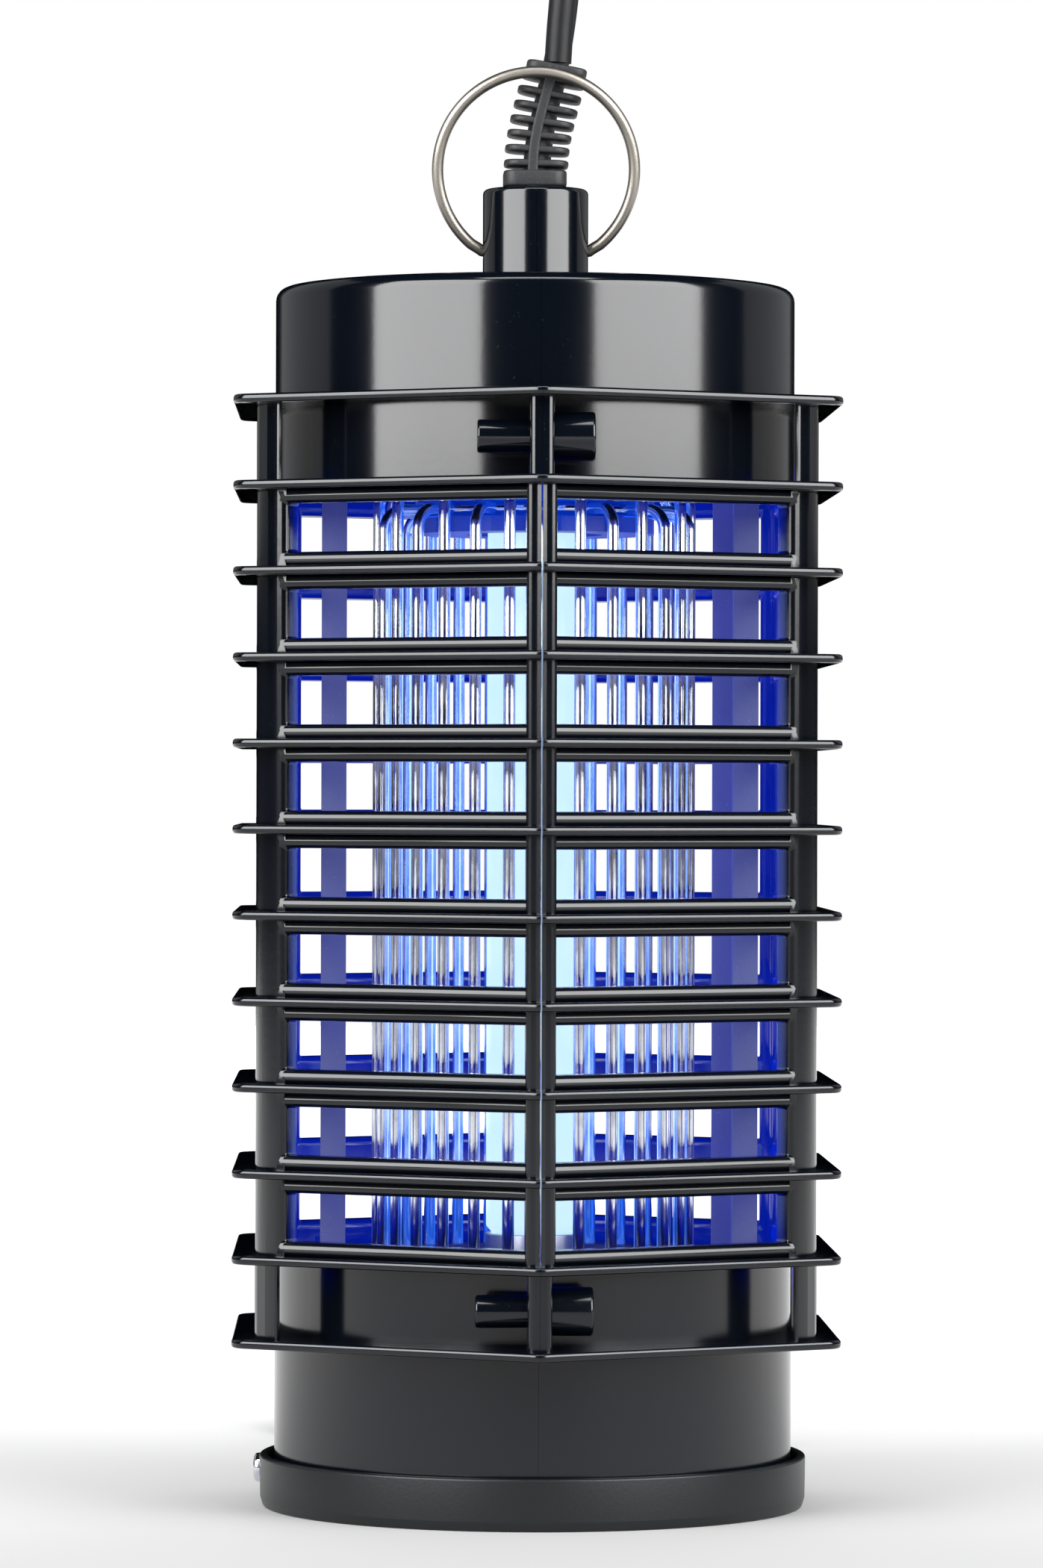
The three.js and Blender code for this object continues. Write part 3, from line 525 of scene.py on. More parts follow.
# supply cord: up from the strain relief, down behind the lantern, coiled on the table, to its plug
cord = {
    "radius": 2.35, "length": 1.5,
    "route": [
        (3.75, 0, 246.3), (4.1, 0, 252), (4.6, 0.1, 258), (5.3, 1.2, 267), (6.1, 5.5, 277),
        (6.8, 13, 286), (7.3, 22.5, 291.5), (7.6, 32, 293), (7.8, 41.5, 291), (7.8, 50.5, 285.5),
        (7.5, 57.5, 276.5), (6.9, 61.2, 266), (5.3, 62.2, 254), (2.4, 62.3, 240), (1.4, 62.3, 226),
        (1.7, 62.3, 210), (2.5, 62.3, 185), (3.1, 62.3, 155), (3.2, 62.3, 125), (3.3, 62.3, 95),
        (3.4, 62.3, 65), (3.5, 62.3, 45), (3.4, 62.3, 32), (2.4, 62.8, 22), (0.4, 63.7, 16.2),
        (-1.6, 64.7, 13.6),
    ],
    "lead": [
        (-36.6, 118, 2.5), (-39.2, 124, 2.5), (-41.6, 130.5, 2.5), (-42.6, 138, 3),
        (-41, 145.6, 4), (-36.6, 152, 5.2), (-31, 156.2, 6.4), (-24.2, 157.5, 6.8),
    ],
    "coilCentre": (1, 101), "outer": 34.05, "inner": 19.95, "top": 8.15, "bottom": 3.45,
    "from": 245, "to": 180, "turns": 6, "pointsPerTurn": 16, "stepAt": 1050, "stepLong": 80,
}


def coilPoints():
    sweep = 360 * cord["turns"] + cord["from"] - cord["to"]
    count = round(sweep / 360 * cord["pointsPerTurn"])
    stepEnd = cord["stepAt"] + cord["stepLong"]
    points = []
    for k in range(count + 1):
        gone = sweep * k / count
        if gone <= stepEnd:
            share = max(0, 1 - gone / cord["stepAt"])
        else:
            share = (gone - stepEnd) / (sweep - stepEnd)
        radius = cord["inner"] + (cord["outer"] - cord["inner"]) * share
        fall = min(1, max(0, (gone - cord["stepAt"]) / cord["stepLong"]))
        fall = fall * fall * (3 - 2 * fall)
        height = cord["top"] + (cord["bottom"] - cord["top"]) * fall
        turn = math.radians(cord["from"] - gone)
        x, y = cord["coilCentre"]
        points.append((x + radius * math.cos(turn), y + radius * math.sin(turn), height))
    return points


def supplyCord():
    line = bpy.data.curves.new("supplyCord", "CURVE")
    line.dimensions, line.bevel_depth, line.bevel_resolution = "3D", cord["radius"] * mm, 5
    line.resolution_u, line.use_fill_caps = 6, True
    spline = line.splines.new("BEZIER")
    points = [*cord["route"], *coilPoints(), *cord["lead"]]
    spline.bezier_points.add(len(points) - 1)
    for point, place in zip(spline.bezier_points, points):
        point.co = Vector(place) * mm
        point.handle_left_type = point.handle_right_type = "AUTO"
    line.materials.append(finishes["cord_pvc"])
    made = linked("supplyCord", line)
    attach(made, "housing")
    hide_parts("supply_cord", "cord_coil", "plug_lead")
    return made


# plug: a flat two-pin body with a ribbed sleeve; side is one side of its outline, from the sleeve to the face
plug = {
    "y": 157.5, "thick": 13.7, "ease": 3,
    "side": [(-8, 7, 3.4), (-2, 8, 6), (10, 12, 14), (19, 17.65, 8), (27, 17.65, 3.4)],
    "pitch": 18.6, "pinRadius": 2, "pinStep": 36, "pinEnd": 46, "pinTip": 1.1, "bore": 2.3, "boreFrom": 20,
    "sleeveFrom": -23.5, "sleeveTo": -4, "sleeveRibs": 5, "ribPitch": 3,
}


def plugSleeve(finish, at):
    start, end = plug["sleeveFrom"], plug["sleeveTo"]
    profile = [(0, start), (2.6, start)]
    for k in range(plug["sleeveRibs"]):
        x = start + 0.9 + plug["ribPitch"] * k
        crest, valley = 3.1 + 0.17 * k, 2.6 + 0.15 * k
        profile += [(crest - 0.1, x), (crest, x + 0.3), (crest, x + 1.5)]
        profile += [(valley, x + 1.9), (valley, x + 2.6)]
    profile += [(3.9, end - 3), (3.9, end), (0, end)]
    return turned("sleeve", profile, finish, 32, at)


def plugPieces():
    finish, side = finishes["cord_pvc"], plug["side"]
    outline = rounded([*((x, -y, r) for x, y, r in side), *side[::-1]], 6)
    move = Matrix.Translation((0, plug["y"], 0))
    body = slab("plugBody", outline, 0, plug["thick"], plug["ease"], finish, move, 6)
    along = Matrix.Translation((0, plug["y"], plug["thick"] / 2)) @ Matrix.Rotation(math.pi / 2, 4, "Y")
    combine(body, [plugSleeve(finish, along)], "UNION")
    pins = []
    for k, sign in enumerate((-1, 1)):
        spot = Matrix.Translation((0, sign * plug["pitch"] / 2, 0)) @ along
        r, start, step, end = plug["pinRadius"], plug["boreFrom"], plug["pinStep"], plug["pinEnd"]
        bore = [(0, start), (plug["bore"], start), (plug["bore"], start + 10), (0, start + 10)]
        combine(body, [turned("hole", bore, finish, 24, spot)], "DIFFERENCE")
        shape = [(0, start + 0.3), (r, start + 0.3), (r, step), (r - 0.12, step + 0.1),
                 (r - 0.12, end, plug["pinTip"]), (0, end)]
        pin = turned("plugPin%d" % (k + 1), rounded(shape, 5, False), finishes["zinc_steel"], 32, spot)
        pins.append(fit(pin, "housing", ["plug_pin_%d" % (k + 1)]))
    fit(body, "housing", ["plug_body"], 40)
    return [body, *pins]


# cord tie: a flat band round the coil, as large as its node
tie = {"corner": 2.2, "thick": 0.65, "edge": 0.4, "inset": 0.25}


def cordTie():
    low, high = (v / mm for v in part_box("cord_tie"))
    wide, tall = high.x - low.x, high.z - low.z
    middle = ((low.x + high.x) / 2, tall / 2)
    sections = [(low.y, tie["inset"], tie["corner"]), (low.y + tie["edge"], 0, tie["corner"]),
                (high.y - tie["edge"], 0, tie["corner"]), (high.y, tie["inset"], tie["corner"])]
    sections += [(y, 2 * tie["thick"], tie["corner"] - 0.6) for y in (high.y, low.y)]
    rings = [[Vector((p.x, y, p.y)) * mm for p in boxOutline(wide - inset, tall - inset, corner, middle)]
             for y, inset, corner in sections]
    points, faces = skin(rings, True)
    return fit(meshObject("cordTie", points, faces, finishes["tray_satin"]), "housing", ["cord_tie"])


flex = supplyCord()
onCord = plugPieces()
cordTie()
print("cord and plug made")

# housing: two half shells, from round bands, a hexagonal cage, fins, ribs and screw bosses
# fin11 and fin12 are the heights of the two lowest fins, and the others follow above them at the pitch
shell = {
    "finApothem": 50.95, "finCorner": 4, "finThick": 1.5, "finEase": 0.55, "pitch": 14.36,
    "fin11": 43.56, "fin12": 29.6, "rows": 9,
    "cageApothem": 47.1, "cageWall": 5, "windowHigh": 8.1, "seamPost": 2.8, "sidePost": 5.8,
    "postRound": 9, "seamRound": 0.6, "bead": 1.25, "sideRoll": 1.8, "innerRoll": 1.5, "rollSteps": 6,
    "seamRib": 2, "cageRib": (0.06, 2.5), "sideRibFrom": 22.4, "sideRibThick": 4.2, "sideRibCorner": 7.6,
    "band": 44, "cap": 44.3, "base": 44.1, "wall": 2, "capTop": 207.5, "capEdge": 2.2, "baseBottom": 3.5,
    "ledge": 39.6, "capLedges": ((182.3, 180.8), (178.2, 176.7)), "baseLedges": ((38.9, 37.7), (35.1, 33.6)),
    "neck": 9, "neckTop": 224.6, "neckRoof": 2.2, "neckHole": 4.4, "hinge": 214, "eye": 1.3,
    "slit": 0.15, "joint": 0.02, "bossY": 49.2, "bossLeft": (2.75, 10.6), "bossRight": (4.05, 8.8),
    "screwSeat": 5.9, "screwBore": 1.5, "lockTurn": 174, "lockZ": 5.8, "lockSlot": 1.9,
}
clear = 1  # how far a cutter reaches past what it cuts
beyond = 80  # further out than any part of the housing
fin2 = shell["fin11"] + shell["rows"] * shell["pitch"]
fin1 = fin2 + shell["pitch"]
bandSpans = ((fin2, fin1), (shell["fin12"], shell["fin11"]))
bossHeights = [(low + high) / 2 for low, high in bandSpans]


def hexagon(apothem, corner, steps=6, seamCorner=None):
    reach = apothem / math.cos(math.pi / 6)
    seam = corner if seamCorner is None else seamCorner
    angles = [math.pi / 2 + k * math.pi / 3 for k in range(6)]
    rounds = [corner if k % 3 else seam for k in range(6)]
    return rounded([(reach * math.cos(a), reach * math.sin(a), r) for a, r in zip(angles, rounds)], steps)


# pairs of ledges inside the bands, which hold the deck and the carrier
def ledges(inner, spans):
    ledge = shell["ledge"]
    return [p for high, low in spans for p in ((inner, high), (ledge, high), (ledge, low), (inner, low))]


def bands(finish):
    s = shell
    wall, roof = s["wall"], s["neckTop"] - s["neckRoof"]
    inner, bore = s["band"] - wall, s["neck"] - wall
    top = [(s["band"], fin2), (s["band"], fin1), (s["cap"], fin1), (s["cap"], s["capTop"], s["capEdge"]),
           (s["neck"], s["capTop"], 0.5), (s["neck"], s["neckTop"], 0.9), (s["neckHole"], s["neckTop"], 0.3),
           (s["neckHole"], roof), (bore, roof), (bore, s["capTop"] - wall), (inner, s["capTop"] - wall),
           *ledges(inner, s["capLedges"]), (inner, fin2)]
    base = [(inner, s["baseBottom"]), (s["base"], s["baseBottom"], 0.5), (s["base"], s["fin12"]),
            (s["band"], s["fin12"]), (s["band"], s["fin11"]), (inner, s["fin11"]),
            *ledges(inner, s["baseLedges"])]
    return [turned("bands", rounded(top, 6), finish, 128), turned("bands", rounded(base, 3), finish, 128)]


# where a face's windows start and end along it: the seam posts are slimmer than the side posts
def windowSpan(face):
    s = shell
    half = s["cageApothem"] * math.tan(math.pi / 6)
    seamEnd = {1: 1, 2: -1, 4: 1, 5: -1}.get(face, 0)
    low = -half + (s["seamPost"] if seamEnd < 0 else s["sidePost"])
    high = half - (s["seamPost"] if seamEnd > 0 else s["sidePost"])
    return low, high


# a flared cutter for one window: its rims are rolled outward and inward
def windowCutter(face, height, finish):
    s = shell
    low, high = windowSpan(face)
    outer, inner, steps = s["cageApothem"], s["cageApothem"] - s["cageWall"], s["rollSteps"]
    turns = [math.pi / 2 * k / steps for k in range(steps + 1)]
    sections = [(outer + clear, 1.0, 0)]
    sections += [(outer - s["bead"] * (1 - math.cos(u)), 1 - math.sin(u), 0) for u in turns]
    turns = [math.pi / 2 * (1 - k / steps) for k in range(steps + 1)]
    sections += [(inner + s["innerRoll"] * (1 - math.cos(u)), 0, 1 - math.sin(u)) for u in turns]
    sections.append((inner - clear, 0, 1.0))
    spin = Matrix.Rotation(face * math.pi / 3, 4, "Z")
    rings = []
    for apothem, flare, innerFlare in sections:
        tall = s["bead"] * flare + s["innerRoll"] * innerFlare
        side = s["sideRoll"] * flare + s["innerRoll"] * innerFlare
        middle = ((low + high) / 2, height)
        outline = boxOutline(high - low + 2 * side, s["windowHigh"] + 2 * tall, 0.5, middle, 3)
        rings.append([(spin @ Vector((apothem, p.x, p.y))) * mm for p in outline])
    points, faces = skin(rings)
    return meshObject("cutter", points, faces, finish)


# the groove between a window's rounded edge and the fin next to it, which leaves a bead along the edge
def beadGroove(face, height, side, finish):
    low, high = windowSpan(face)
    r, edge = shell["bead"], shell["windowHigh"] / 2
    centre = shell["cageApothem"] - r
    past, far = centre + r + clear, edge + 2.2 * r
    turns = [math.pi / 2 + 0.21 * k for k in range(6)]
    outline = [(centre + r * math.sin(u), edge + r - r * math.cos(u)) for u in turns]
    outline += [(centre - 0.1, far), (past, far), (past, edge + r)]
    spin = Matrix.Rotation(face * math.pi / 3, 4, "Z")
    rings = [[(spin @ Vector((a, y, height + side * b))) * mm for a, b in outline] for y in (low, high)]
    points, faces = skin(rings)
    return meshObject("groove", points, faces, finish)


# the wall has a ring of points at each row's middle, so that a window cuts clean faces
def cage(finish):
    s = shell
    rows = [s["fin11"] + (k + 0.5) * s["pitch"] for k in range(s["rows"])]
    levels = [s["fin11"], *rows, fin2]
    inner, innerRound = s["cageApothem"] - s["cageWall"], s["postRound"] - s["cageWall"]
    walls = ((s["cageApothem"], s["postRound"], levels), (inner, innerRound, levels[::-1]))
    rings = []
    for apothem, corner, heights in walls:
        outline = hexagon(apothem, corner, 8, s["seamRound"])
        rings += [[Vector((*p, z)) * mm for p in outline] for z in heights]
    points, faces = skin(rings, True)
    wall = meshObject("cage", points, faces, finish)
    cutters = [windowCutter(face, z, finish) for face in range(6) for z in rows]
    grooves = [beadGroove(face, z, side, finish) for face in range(6) for z in rows for side in (-1, 1)]
    return combine(wall, [merged("cutters", cutters), merged("grooves", grooves)], "DIFFERENCE")


# a hexagonal fin with a fine rounded edge, round a hexagonal or a round hole
def fin(z, roundHole, finish):
    s = shell
    half = s["finThick"] / 2
    rings = []
    for inset, height in easedRings(z - half, z + half, s["finEase"], 3):
        outline = hexagon(s["finApothem"] - inset, s["finCorner"] - inset)
        rings.append([Vector((*p, height)) for p in outline])
    hole = [Vector((*p, 0)) for p in hexagon(s["cageApothem"] - s["cageWall"] / 2, s["seamRound"])]
    if roundHole:
        hole = [v.normalized() * (s["band"] - clear) for v in hole]
    rings += [[v + Vector((0, 0, z + side)) for v in hole] for side in (half, -half)]
    points, faces = skin([[p * mm for p in ring] for ring in rings], True)
    return meshObject("fin", points, faces, finish)


# upright ribs: at the seam one in each band and a pair on the cage, and at the side corners one in each band
def ribs(finish):
    s = shell
    outer = s["cageApothem"] / math.cos(math.pi / 6) - 0.4
    gap, wide = s["cageRib"]
    spans = [(low, high, -s["seamRib"], s["seamRib"], s["band"] - 0.6) for low, high in bandSpans]
    spans += [(s["fin11"], fin2, a, b, s["cageApothem"] - clear) for a, b in ((-wide, -gap), (gap, wide))]
    made = []
    for low, high, left, right, back in spans:
        for y in (-1, 1):
            near, far = sorted((y * outer, y * back))
            corners = [(left, near, 1), (right, near, 1), (right, far, 1), (left, far, 1)]
            made.append(slab("rib", rounded(corners, 5), low, high, 0.01, finish))
    start, thick, edge = s["sideRibFrom"], s["sideRibThick"], s["cageApothem"] * math.tan(math.pi / 6)
    outside, inside = s["cageApothem"], s["cageApothem"] - thick
    for low, high in bandSpans:
        for x in (-1, 1):
            for y in (-1, 1):
                corners = [(x * outside, y * start, 0.5), (x * outside, y * edge, s["sideRibCorner"]),
                           (x * inside, y * (edge + thick * 0.577), 0.5), (x * inside, y * start, 0.5)]
                corners = corners if x * y > 0 else corners[::-1]
                made.append(slab("rib", rounded(corners, 3), low, high, 0.01, finish))
    return made


# the round bosses across the seam, each with a bore and a seat for its screw
def bosses(finish):
    s = shell
    made, holes = [], []
    (leftR, leftLong), (rightR, rightLong) = s["bossLeft"], s["bossRight"]
    for y in (-s["bossY"], s["bossY"]):
        for z in bossHeights:
            at = Matrix.Translation((0, y, z)) @ Matrix.Rotation(math.pi / 2, 4, "Y")
            left = rounded([(0, -leftLong), (leftR, -leftLong, 0.4), (leftR - 0.1, 0), (0, 0)], 3, False)
            right = rounded([(0, 0), (rightR - 0.1, 0), (rightR, rightLong, 0.5), (0, rightLong)], 3, False)
            made += [turned("boss", left, finish, 40, at), turned("boss", right, finish, 48, at)]
            seat, deep, shank, start = rightR - 0.95, s["screwSeat"], s["screwBore"], 1.2 - leftLong
            bore = [(0, start), (shank, start), (shank, deep), (seat, deep), (seat, 10), (0, 10)]
            holes.append(turned("bore", bore, finish, 32, at))
    return made, holes


def housing():
    finish, s = finishes["shell_gloss"], shell
    whole = cage(finish)
    levels = [(s["fin11"] + k * s["pitch"], k in (0, s["rows"])) for k in range(s["rows"] + 1)]
    fins = [fin(z, roundHole, finish) for z, roundHole in [*levels, (fin1, True), (s["fin12"], True)]]
    solid, holes = bosses(finish)
    combine(whole, [*fins, *bands(finish), *ribs(finish), *solid], "UNION")
    across = Matrix.Translation((0, 0, s["hinge"])) @ Matrix.Rotation(math.pi / 2, 4, "Y")
    eye = [(0, -12), (s["eye"], -12), (s["eye"], 12), (0, 12)]
    holes.append(turned("eye", eye, finish, 24, across))
    side = s["lockSlot"]
    low, high = s["baseBottom"] - clear, s["lockZ"] + side
    slot = block("slot", (s["band"] - 4, -side, low), (s["band"] + 2, side, high), finish, 0.2)
    slot.data.transform(Matrix.Rotation(math.radians(s["lockTurn"]), 4, "Z"))
    low, high = s["fin11"] + 0.8, fin2 - 0.8
    seam = block("seam", (-s["slit"], -beyond, low), (s["slit"], beyond, high), finish, 0.05)
    combine(whole, [*holes, slot, seam], "DIFFERENCE")
    for name, node, x in (("leftShell", "left_shell", -1), ("rightShell", "right_shell", 1)):
        low, high = sorted((x * s["joint"], x * beyond))
        keep = block("keep", (low, -beyond, -5), (high, beyond, 240), finish, 0.05)
        half = linked(name, whole.data.copy())
        combine(half, [keep], "INTERSECT")
        flatter = half.modifiers.new("flatter", "WEIGHTED_NORMAL")
        flatter.keep_sharp, flatter.weight = True, 60
        fit(half, "housing", [node], 32)
    bpy.data.objects.remove(whole)


housing()
print("housing made")

# collecting tray and its lock screw
tray = {"radius": 46.6, "rim": 8.8, "wall": 1.5, "floor": 2, "foot": 46, "rimEdge": 0.45, "screwHole": 1.8}


def collectingTray():
    r, rim, inner, finish = tray["radius"], tray["rim"], tray["radius"] - tray["wall"], finishes["tray_satin"]
    profile = [(0, 0), (tray["foot"], 0, 0.5), (r - 0.1, 1.6, 0.6), (r, rim, tray["rimEdge"]),
               (inner, rim, tray["rimEdge"]), (inner, tray["floor"], 1.4), (0, tray["floor"])]
    made = turned("collectingTray", rounded(profile, 5, False), finish, 160)
    at = Matrix.Rotation(math.radians(shell["lockTurn"]), 4, "Z") @ Matrix.Translation((0, 0, shell["lockZ"]))
    at = at @ Matrix.Rotation(math.pi / 2, 4, "Y")
    hole = [(0, r - 5), (tray["screwHole"], r - 5), (tray["screwHole"], r + 3), (0, r + 3)]
    combine(made, [turned("hole", hole, finish, 24, at)], "DIFFERENCE")
    return fit(made, "tray", ["collecting_tray"])


# head radius, head height, shank radius and length of each kind of screw
screwSizes = {"lock": (2.5, 1.2, 1.5, 5.2), "housing": (2.7, 1.9, 1.2, 13.5), "hub": (2.1, 1.4, 0.9, 8.6),
              "board": (2.2, 1.5, 1, 6.4)}


# a pan-head screw with its head's underside at height 0, a cross recess and a threaded shank
def screw(name, node, body, kind, at):
    head, high, shank, length = screwSizes[kind]
    finish = finishes[slotOf[node]]
    crown = rounded([(head, 0), (head, high, high * 0.62), (0, high)], 6, False)
    profile = [(0, -length), (shank * 0.25, -length)]
    pitch, root = shank * 0.62, shank * 0.8
    count = int((length - shank) / pitch)
    for k in range(count):
        z = shank - length + k * pitch
        profile += [(root, z), (shank * 0.99, z + pitch * 0.5)]
    profile += [(root, shank - length + count * pitch), (shank * 0.9, -0.02), (head, 0.001)]
    made = turned(name, [*profile, *crown[1:]], finish, 32, at)
    for spin in (0, math.pi / 2):
        arm = slab("arm", boxOutline(head * 1.24, head * 0.3, 0.05, steps=2), high * 0.35, high + clear, 0.02,
                   finish, at @ Matrix.Rotation(spin, 4, "Z"), 2)
        combine(made, [arm], "DIFFERENCE")
    return fit(made, body, [node], 28)


def screws():
    along = Matrix.Rotation(math.pi / 2, 4, "Y")
    lock = Matrix.Rotation(math.radians(shell["lockTurn"]), 4, "Z")
    lock = lock @ Matrix.Translation((tray["radius"] + 0.03, 0, shell["lockZ"]))
    screw("trayLockScrew", "tray_lock_screw", "lock_screw", "lock", lock @ along)
    for i, (place, y) in enumerate((("front", -shell["bossY"]), ("back", shell["bossY"]))):
        for level, z in zip(("Top", "Bottom"), bossHeights):
            at = Matrix.Translation((shell["screwSeat"] + 0.3, y, z))
            at = at @ along @ Matrix.Rotation(0.4 + i, 4, "Z")
            node = "housing_screw_%s_%s" % (place, level.lower())
            screw("housingScrew" + place.title() + level, node, "housing", "housing", at)
    for kind in ("hub", "board"):
        for k in range(3):
            node = "%s_screw_%d" % (kind, k + 1)
            low, high = (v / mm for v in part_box(node))
            top = high.z - screwSizes[kind][1]
            at = Matrix.Translation(((low.x + high.x) / 2, (low.y + high.y) / 2, top))
            screw("%sScrew%d" % (kind, k + 1), node, "housing", kind, at @ Matrix.Rotation(k, 4, "Z"))


collectingTray()
screws()
print("tray and screws made")

# hanging ring: a round wire ring whose ends hook into the neck's eye; hook is one end
ring = {"middle": 16.8, "wire": 0.97, "rise": 14, "lean": 12, "steps": 90, "start": 0.13,
        "hook": [(6.2, 0, 0), (7.4, 0, 0), (8.5, 0, 0), (9.2, 0, 0.12), (9.6, 0, 0.45)]}


def hangingRing():
    first = ring["start"] - math.asin(ring["rise"] / ring["middle"])
    points = []
    for k in range(ring["steps"] + 1):
        turn = first + (math.pi - 2 * first) * k / ring["steps"]
        points.append((ring["middle"] * math.cos(turn), 0, ring["rise"] + ring["middle"] * math.sin(turn)))
    end = [(-x, y, z) for x, y, z in ring["hook"]][::-1]
    lean = Matrix.Translation((0, 0, shell["hinge"])) @ Matrix.Rotation(math.radians(ring["lean"]), 4, "X")
    path = [lean @ Vector(p) for p in [*ring["hook"], *points, *end]]
    made = swept("hangingRing", path, lambda share: circle(ring["wire"], 20), finishes["ring_nickel"],
                 lean.to_3x3() @ Vector((0, 1, 0)))
    return fit(made, "ring", ["hanging_ring"])


# strain relief: a curved ribbed grip leaning with the cord
# axis points are (x, height, tilt in degrees), and flange heights are from the top of the neck
relief = {
    "axis": [(0, 224.9, 0), (0.02, 227.6, 0), (0.1, 230, 2.5), (0.4, 232.6, 5), (0.85, 235, 7.5),
             (1.45, 237.5, 9.5), (2.1, 240, 11), (2.8, 242.6, 11.5), (3.6, 245.6, 10.5)],
    "flange": [(0, -5.6), (1.9, -5.6), (1.9, -5.4), (6.3, -5.4), (6.3, -2.5), (4, -2.5), (4, 1), (0, 1)],
    "rib": (11, 8.4, 1.2), "ribs": 7, "foot": (10.8, 9.2, 2.8), "top": (10.4, 8.6, 1.6), "core": 2.15,
    "spineAt": 3.5, "spineIn": 0.6, "spineWide": 1.8, "spineDeep": 1.7, "steps": 16,
}


# the place and lean of the grip a share of the way up
def reliefFrame(share):
    place = share * (len(relief["axis"]) - 1)
    i = min(int(place), len(relief["axis"]) - 2)
    a, b = Vector(relief["axis"][i]), Vector(relief["axis"][i + 1])
    x, z, tilt = a.lerp(b, place - i)
    return Matrix.Translation((x, 0, z)) @ Matrix.Rotation(math.radians(tilt), 4, "Y")


def strainRelief():
    finish, top, steps = finishes["grained_pvc"], shell["neckTop"], relief["steps"]
    made = turned("strainRelief", [(r, top + z) for r, z in relief["flange"]], finish, 48)
    wide, deep, high = relief["foot"]
    outline = boxOutline(wide, deep, 2.2, (-0.15, 0))
    parts = [slab("foot", outline, top + 0.3, top + 0.3 + high, 0.45, finish)]
    wide, deep, high = relief["rib"]
    for k in range(relief["ribs"]):
        at = reliefFrame((k + 1.62) / (relief["ribs"] + 1.42))
        parts.append(slab("rib", boxOutline(wide, deep, 2.6), -high / 2, high / 2, 0.42, finish, at))
    wide, deep, high = relief["top"]
    parts.append(slab("top", boxOutline(wide, deep, 2), -high + 0.2, 0.2, 0.5, finish, reliefFrame(1)))
    path = [reliefFrame(k / steps).translation for k in range(steps + 1)]
    parts.append(swept("core", path, lambda share: circle(relief["core"], 24), finish))
    for y in (-relief["spineAt"], relief["spineAt"]):
        outline = boxOutline(relief["spineWide"], relief["spineDeep"], 0.35, (0, y), 3)
        frames = [reliefFrame(k / steps * 0.985) for k in range(steps + 1)]
        rings = [[(at @ Vector((p.x - relief["spineIn"], p.y, 0))) * mm for p in outline] for at in frames]
        points, faces = skin(rings)
        parts.append(meshObject("spine", points, faces, finish))
    combine(made, parts, "UNION")
    return fit(made, "housing", ["strain_relief"])


hangingRing()
strainRelief()
print("ring and strain relief made")

# lamp: a slim tube with two-pin caps; neck is how far its ends are drawn in, and shoulder where they widen
lamp = {"radius": 8, "low": 40.2, "high": 176.2, "neck": 0.9, "end": 1.4, "shoulder": 6.4,
        "cap": 6.2, "capWall": 0.6, "pins": 5, "pinRadius": 1.15, "pinLong": 6.4}


def lampPieces():
    r, low, high, end, shoulder = lamp["radius"], lamp["low"], lamp["high"], lamp["end"], lamp["shoulder"]
    slim = r - lamp["neck"]
    profile = [(0, low + end), (slim, low + end), (slim, low + shoulder, 0.5),
               (r, low + shoulder + 1, 0.8), (r, high - shoulder - 1, 0.8),
               (slim, high - shoulder, 0.5), (slim, high - end), (0, high - end)]
    tube = turned("lampTube", rounded(profile, 4, False), finishes["uv_lamp"], 64)
    tube.visible_shadow = False
    fit(tube, "lamp", ["lamp_tube"])
    finish, lip, inside = finishes["zinc_steel"], r + 0.2, r - lamp["capWall"]
    for name, node, at in (
        ("lampCapBottom", "lamp_cap_bottom", Matrix.Translation((0, 0, low))),
        ("lampCapTop", "lamp_cap_top", Matrix.Translation((0, 0, high)) @ Matrix.Rotation(math.pi, 4, "X")),
    ):
        cup = [(0, 0), (lip, 0, 0.5), (lip, lamp["cap"], 0.25), (inside, lamp["cap"]), (inside, 1), (0, 1)]
        cap = turned(name, rounded(cup, 4, False), finish, 64, at)
        for side in (-1, 1):
            spot = at @ Matrix.Translation((side * lamp["pins"] / 2, 0, 0))
            wide, tip = lamp["pinRadius"], -lamp["pinLong"]
            pin = rounded([(0, tip), (wide, tip, 0.5), (wide, 0.5), (0, 0.5)], 3, False)
            combine(cap, [turned("pin", pin, finish, 20, spot)], "UNION")
        fit(cap, "lamp", [node])


# high-voltage grid: two combs of bent wires, each on its own hoop; the first wire stands at first degrees
grid = {"circle": 26.6, "count": 28, "first": 2.57, "wire": 1, "bottom": 40.9, "bend": 3.4,
        "levels": (169.5, 173.5), "hoops": (18.6, 16.8)}


def gridWire(k, level, inner, finish):
    turn = math.radians(grid["first"] - 90 + k * 360 / grid["count"])
    out = Vector((math.cos(turn), math.sin(turn), 0))
    bend, r, bottom = grid["bend"], grid["circle"], grid["bottom"]
    line = [(r, bottom), (r, bottom + 0.6)]
    line += [(r, bottom + (level - bend - bottom) * s / 6) for s in range(1, 6)]
    for s in range(9):
        a = math.pi / 2 * s / 8
        line.append((r - bend * (1 - math.cos(a)), level - bend + bend * math.sin(a)))
    line.append((inner, level))
    across = Vector((-out.y, out.x, 0))
    return swept("wire", [out * a + Vector((0, 0, b)) for a, b in line],
                 lambda share: circle(grid["wire"] * (0.6 if share == 0 else 1), 14), finish, across)


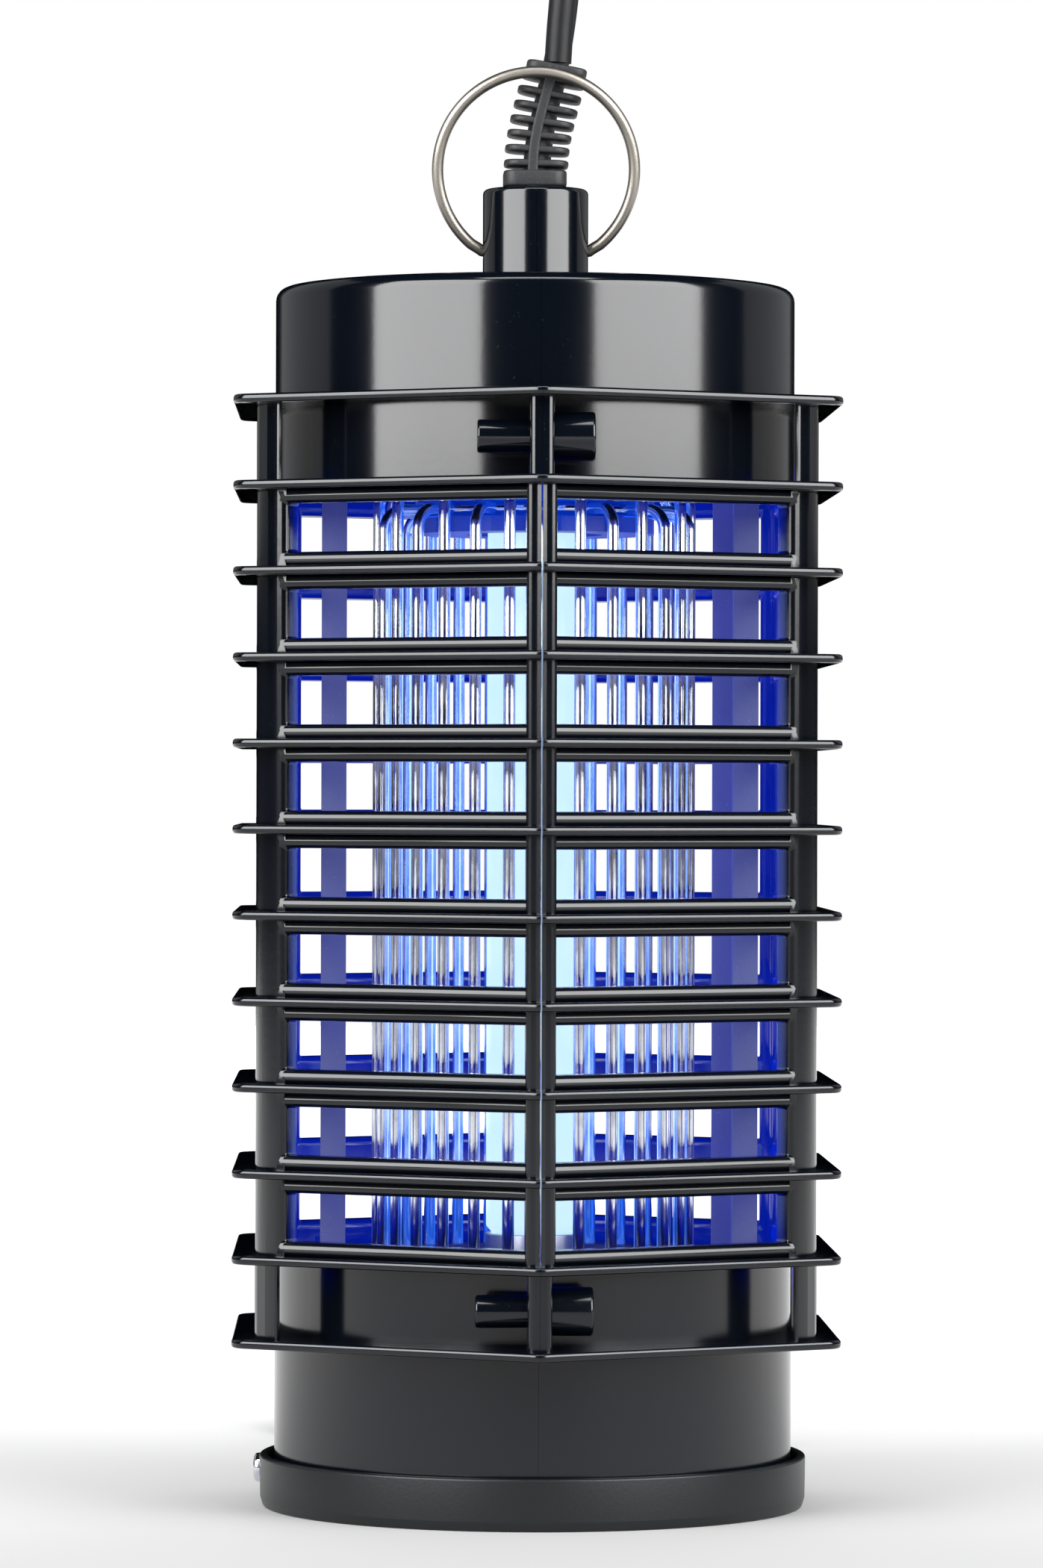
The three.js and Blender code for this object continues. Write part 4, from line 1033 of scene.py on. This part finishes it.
def electrodes():
    finish = finishes["grid_chrome"]
    for first, name in enumerate(("A", "B")):
        level, inner = grid["levels"][first], grid["hoops"][first]
        turns = [math.tau * k / 72 for k in range(72)]
        loop = [(inner * math.cos(a), inner * math.sin(a), level) for a in turns]
        hoop = swept("hoop", loop, lambda share: circle(grid["wire"], 14), finish, (0, 0, 1), True)
        wires = [gridWire(k, level, inner, finish) for k in range(first, grid["count"], 2)]
        combine(hoop, [merged("wires", wires)], "UNION")
        hoop.name = "gridElectrode" + name
        fit(hoop, "housing", ["grid_electrode_" + name.lower()])


lampPieces()
electrodes()
print("lamp and grid made")

# stage, in metres: a pale table, a bright surround, tall soft boxes, and the lamp's own light inside the cage
# table and front are the table's tones behind and before the lantern, painted shade near it, and beyond paler
# it turns to edge
# boxes are (degrees round from the front, radiance)
stage = {"table": 0.46, "front": 0.2, "shade": (-0.4, 0.3), "paler": (0.3, 2.3), "edge": 0.95, "reach": 2.4,
         "surround": 1.0, "boxes": ((-50, 9), (50, 9), (-128, 0.35), (128, 0.35)),
         "far": 1.15, "wide": 1.1, "tall": 1.1, "low": 0.2,
         "bulbs": 7, "bulbPower": 0.012, "bulbSize": 0.006, "bulbTone": (0.02, 0.12, 1.0),
         "above": {"place": (0, -0.75, 1.5), "wide": 1.0, "deep": 0.35, "radiance": 6, "aim": (0, 0, 0.15)},
         "behind": {"place": (0, 1.5, 1.9), "wide": 2.6, "deep": 2.0, "power": 34}}


def areaLight(name, wide, deep, power, place, aim=None):
    light = bpy.data.lights.new(name, "AREA")
    light.shape, light.size, light.size_y, light.energy = "RECTANGLE", wide, deep, power
    made = linked(name, light)
    made.location = place
    if aim:
        made.rotation_euler = (Vector(aim) - made.location).to_track_quat("-Z", "Y").to_euler()
    made.visible_camera = False
    return made


def makeTable():
    paint = Paint("table")
    x, y, z = paint.parts(paint.place())
    away = (x * x + y * y).maths("SQRT").step(*stage["paler"])
    # painted shade: the table is darker near the lantern, and darker in front of it than behind
    near = paint.mix(y.step(*stage["shade"]), (stage["front"],) * 3, (stage["table"],) * 3)
    tone = paint.mix(away, near, (stage["edge"],) * 3)
    top = paint.finish(Base_Color=tone, Roughness=1.0, Specular_IOR_Level=0.0)
    reach = stage["reach"]
    corners = [(x * reach, y * reach, 0) for x, y in ((-1, -1), (1, -1), (1, 1), (-1, 1))]
    table = meshObject("table", corners, [(0, 1, 2, 3)], top)


def makeSurround():
    world = bpy.data.worlds.new("surround")
    world.use_nodes = True
    surround = world.node_tree.nodes["Background"]
    surround.inputs["Color"].default_value = (1, 1, 1, 1)
    surround.inputs["Strength"].default_value = stage["surround"]
    world.cycles_visibility.glossy = False
    bpy.context.scene.world = world
    bpy.context.scene.view_settings.view_transform = "Standard"


def makeLights():
    wide, tall, far = stage["wide"], stage["tall"], stage["far"]
    height = stage["low"] + tall / 2
    for turn, radiance in stage["boxes"]:
        angle = math.radians(turn)
        place = (far * math.sin(angle), -far * math.cos(angle), height)
        areaLight("softBox", wide, tall, radiance * math.pi * wide * tall, place, (0, 0, height))
    above, behind = stage["above"], stage["behind"]
    wide, deep = above["wide"], above["deep"]
    areaLight("above", wide, deep, above["radiance"] * math.pi * wide * deep, above["place"], above["aim"])
    wash = areaLight("behind", behind["wide"], behind["deep"], behind["power"], behind["place"])
    wash.visible_glossy = False
    low, high = lamp["low"] + 8, lamp["high"] - 8
    for k in range(stage["bulbs"]):
        light = bpy.data.lights.new("lampLight", "POINT")
        light.color, light.energy = stage["bulbTone"], stage["bulbPower"]
        light.shadow_soft_size = stage["bulbSize"]
        bulb = linked("lampLight", light)
        bulb.location = (0, 0, (low + (high - low) * (k + 0.5) / stage["bulbs"]) * mm)
        bulb.visible_camera = bulb.visible_glossy = False


makeTable()
makeSurround()
makeLights()
print("stage made")
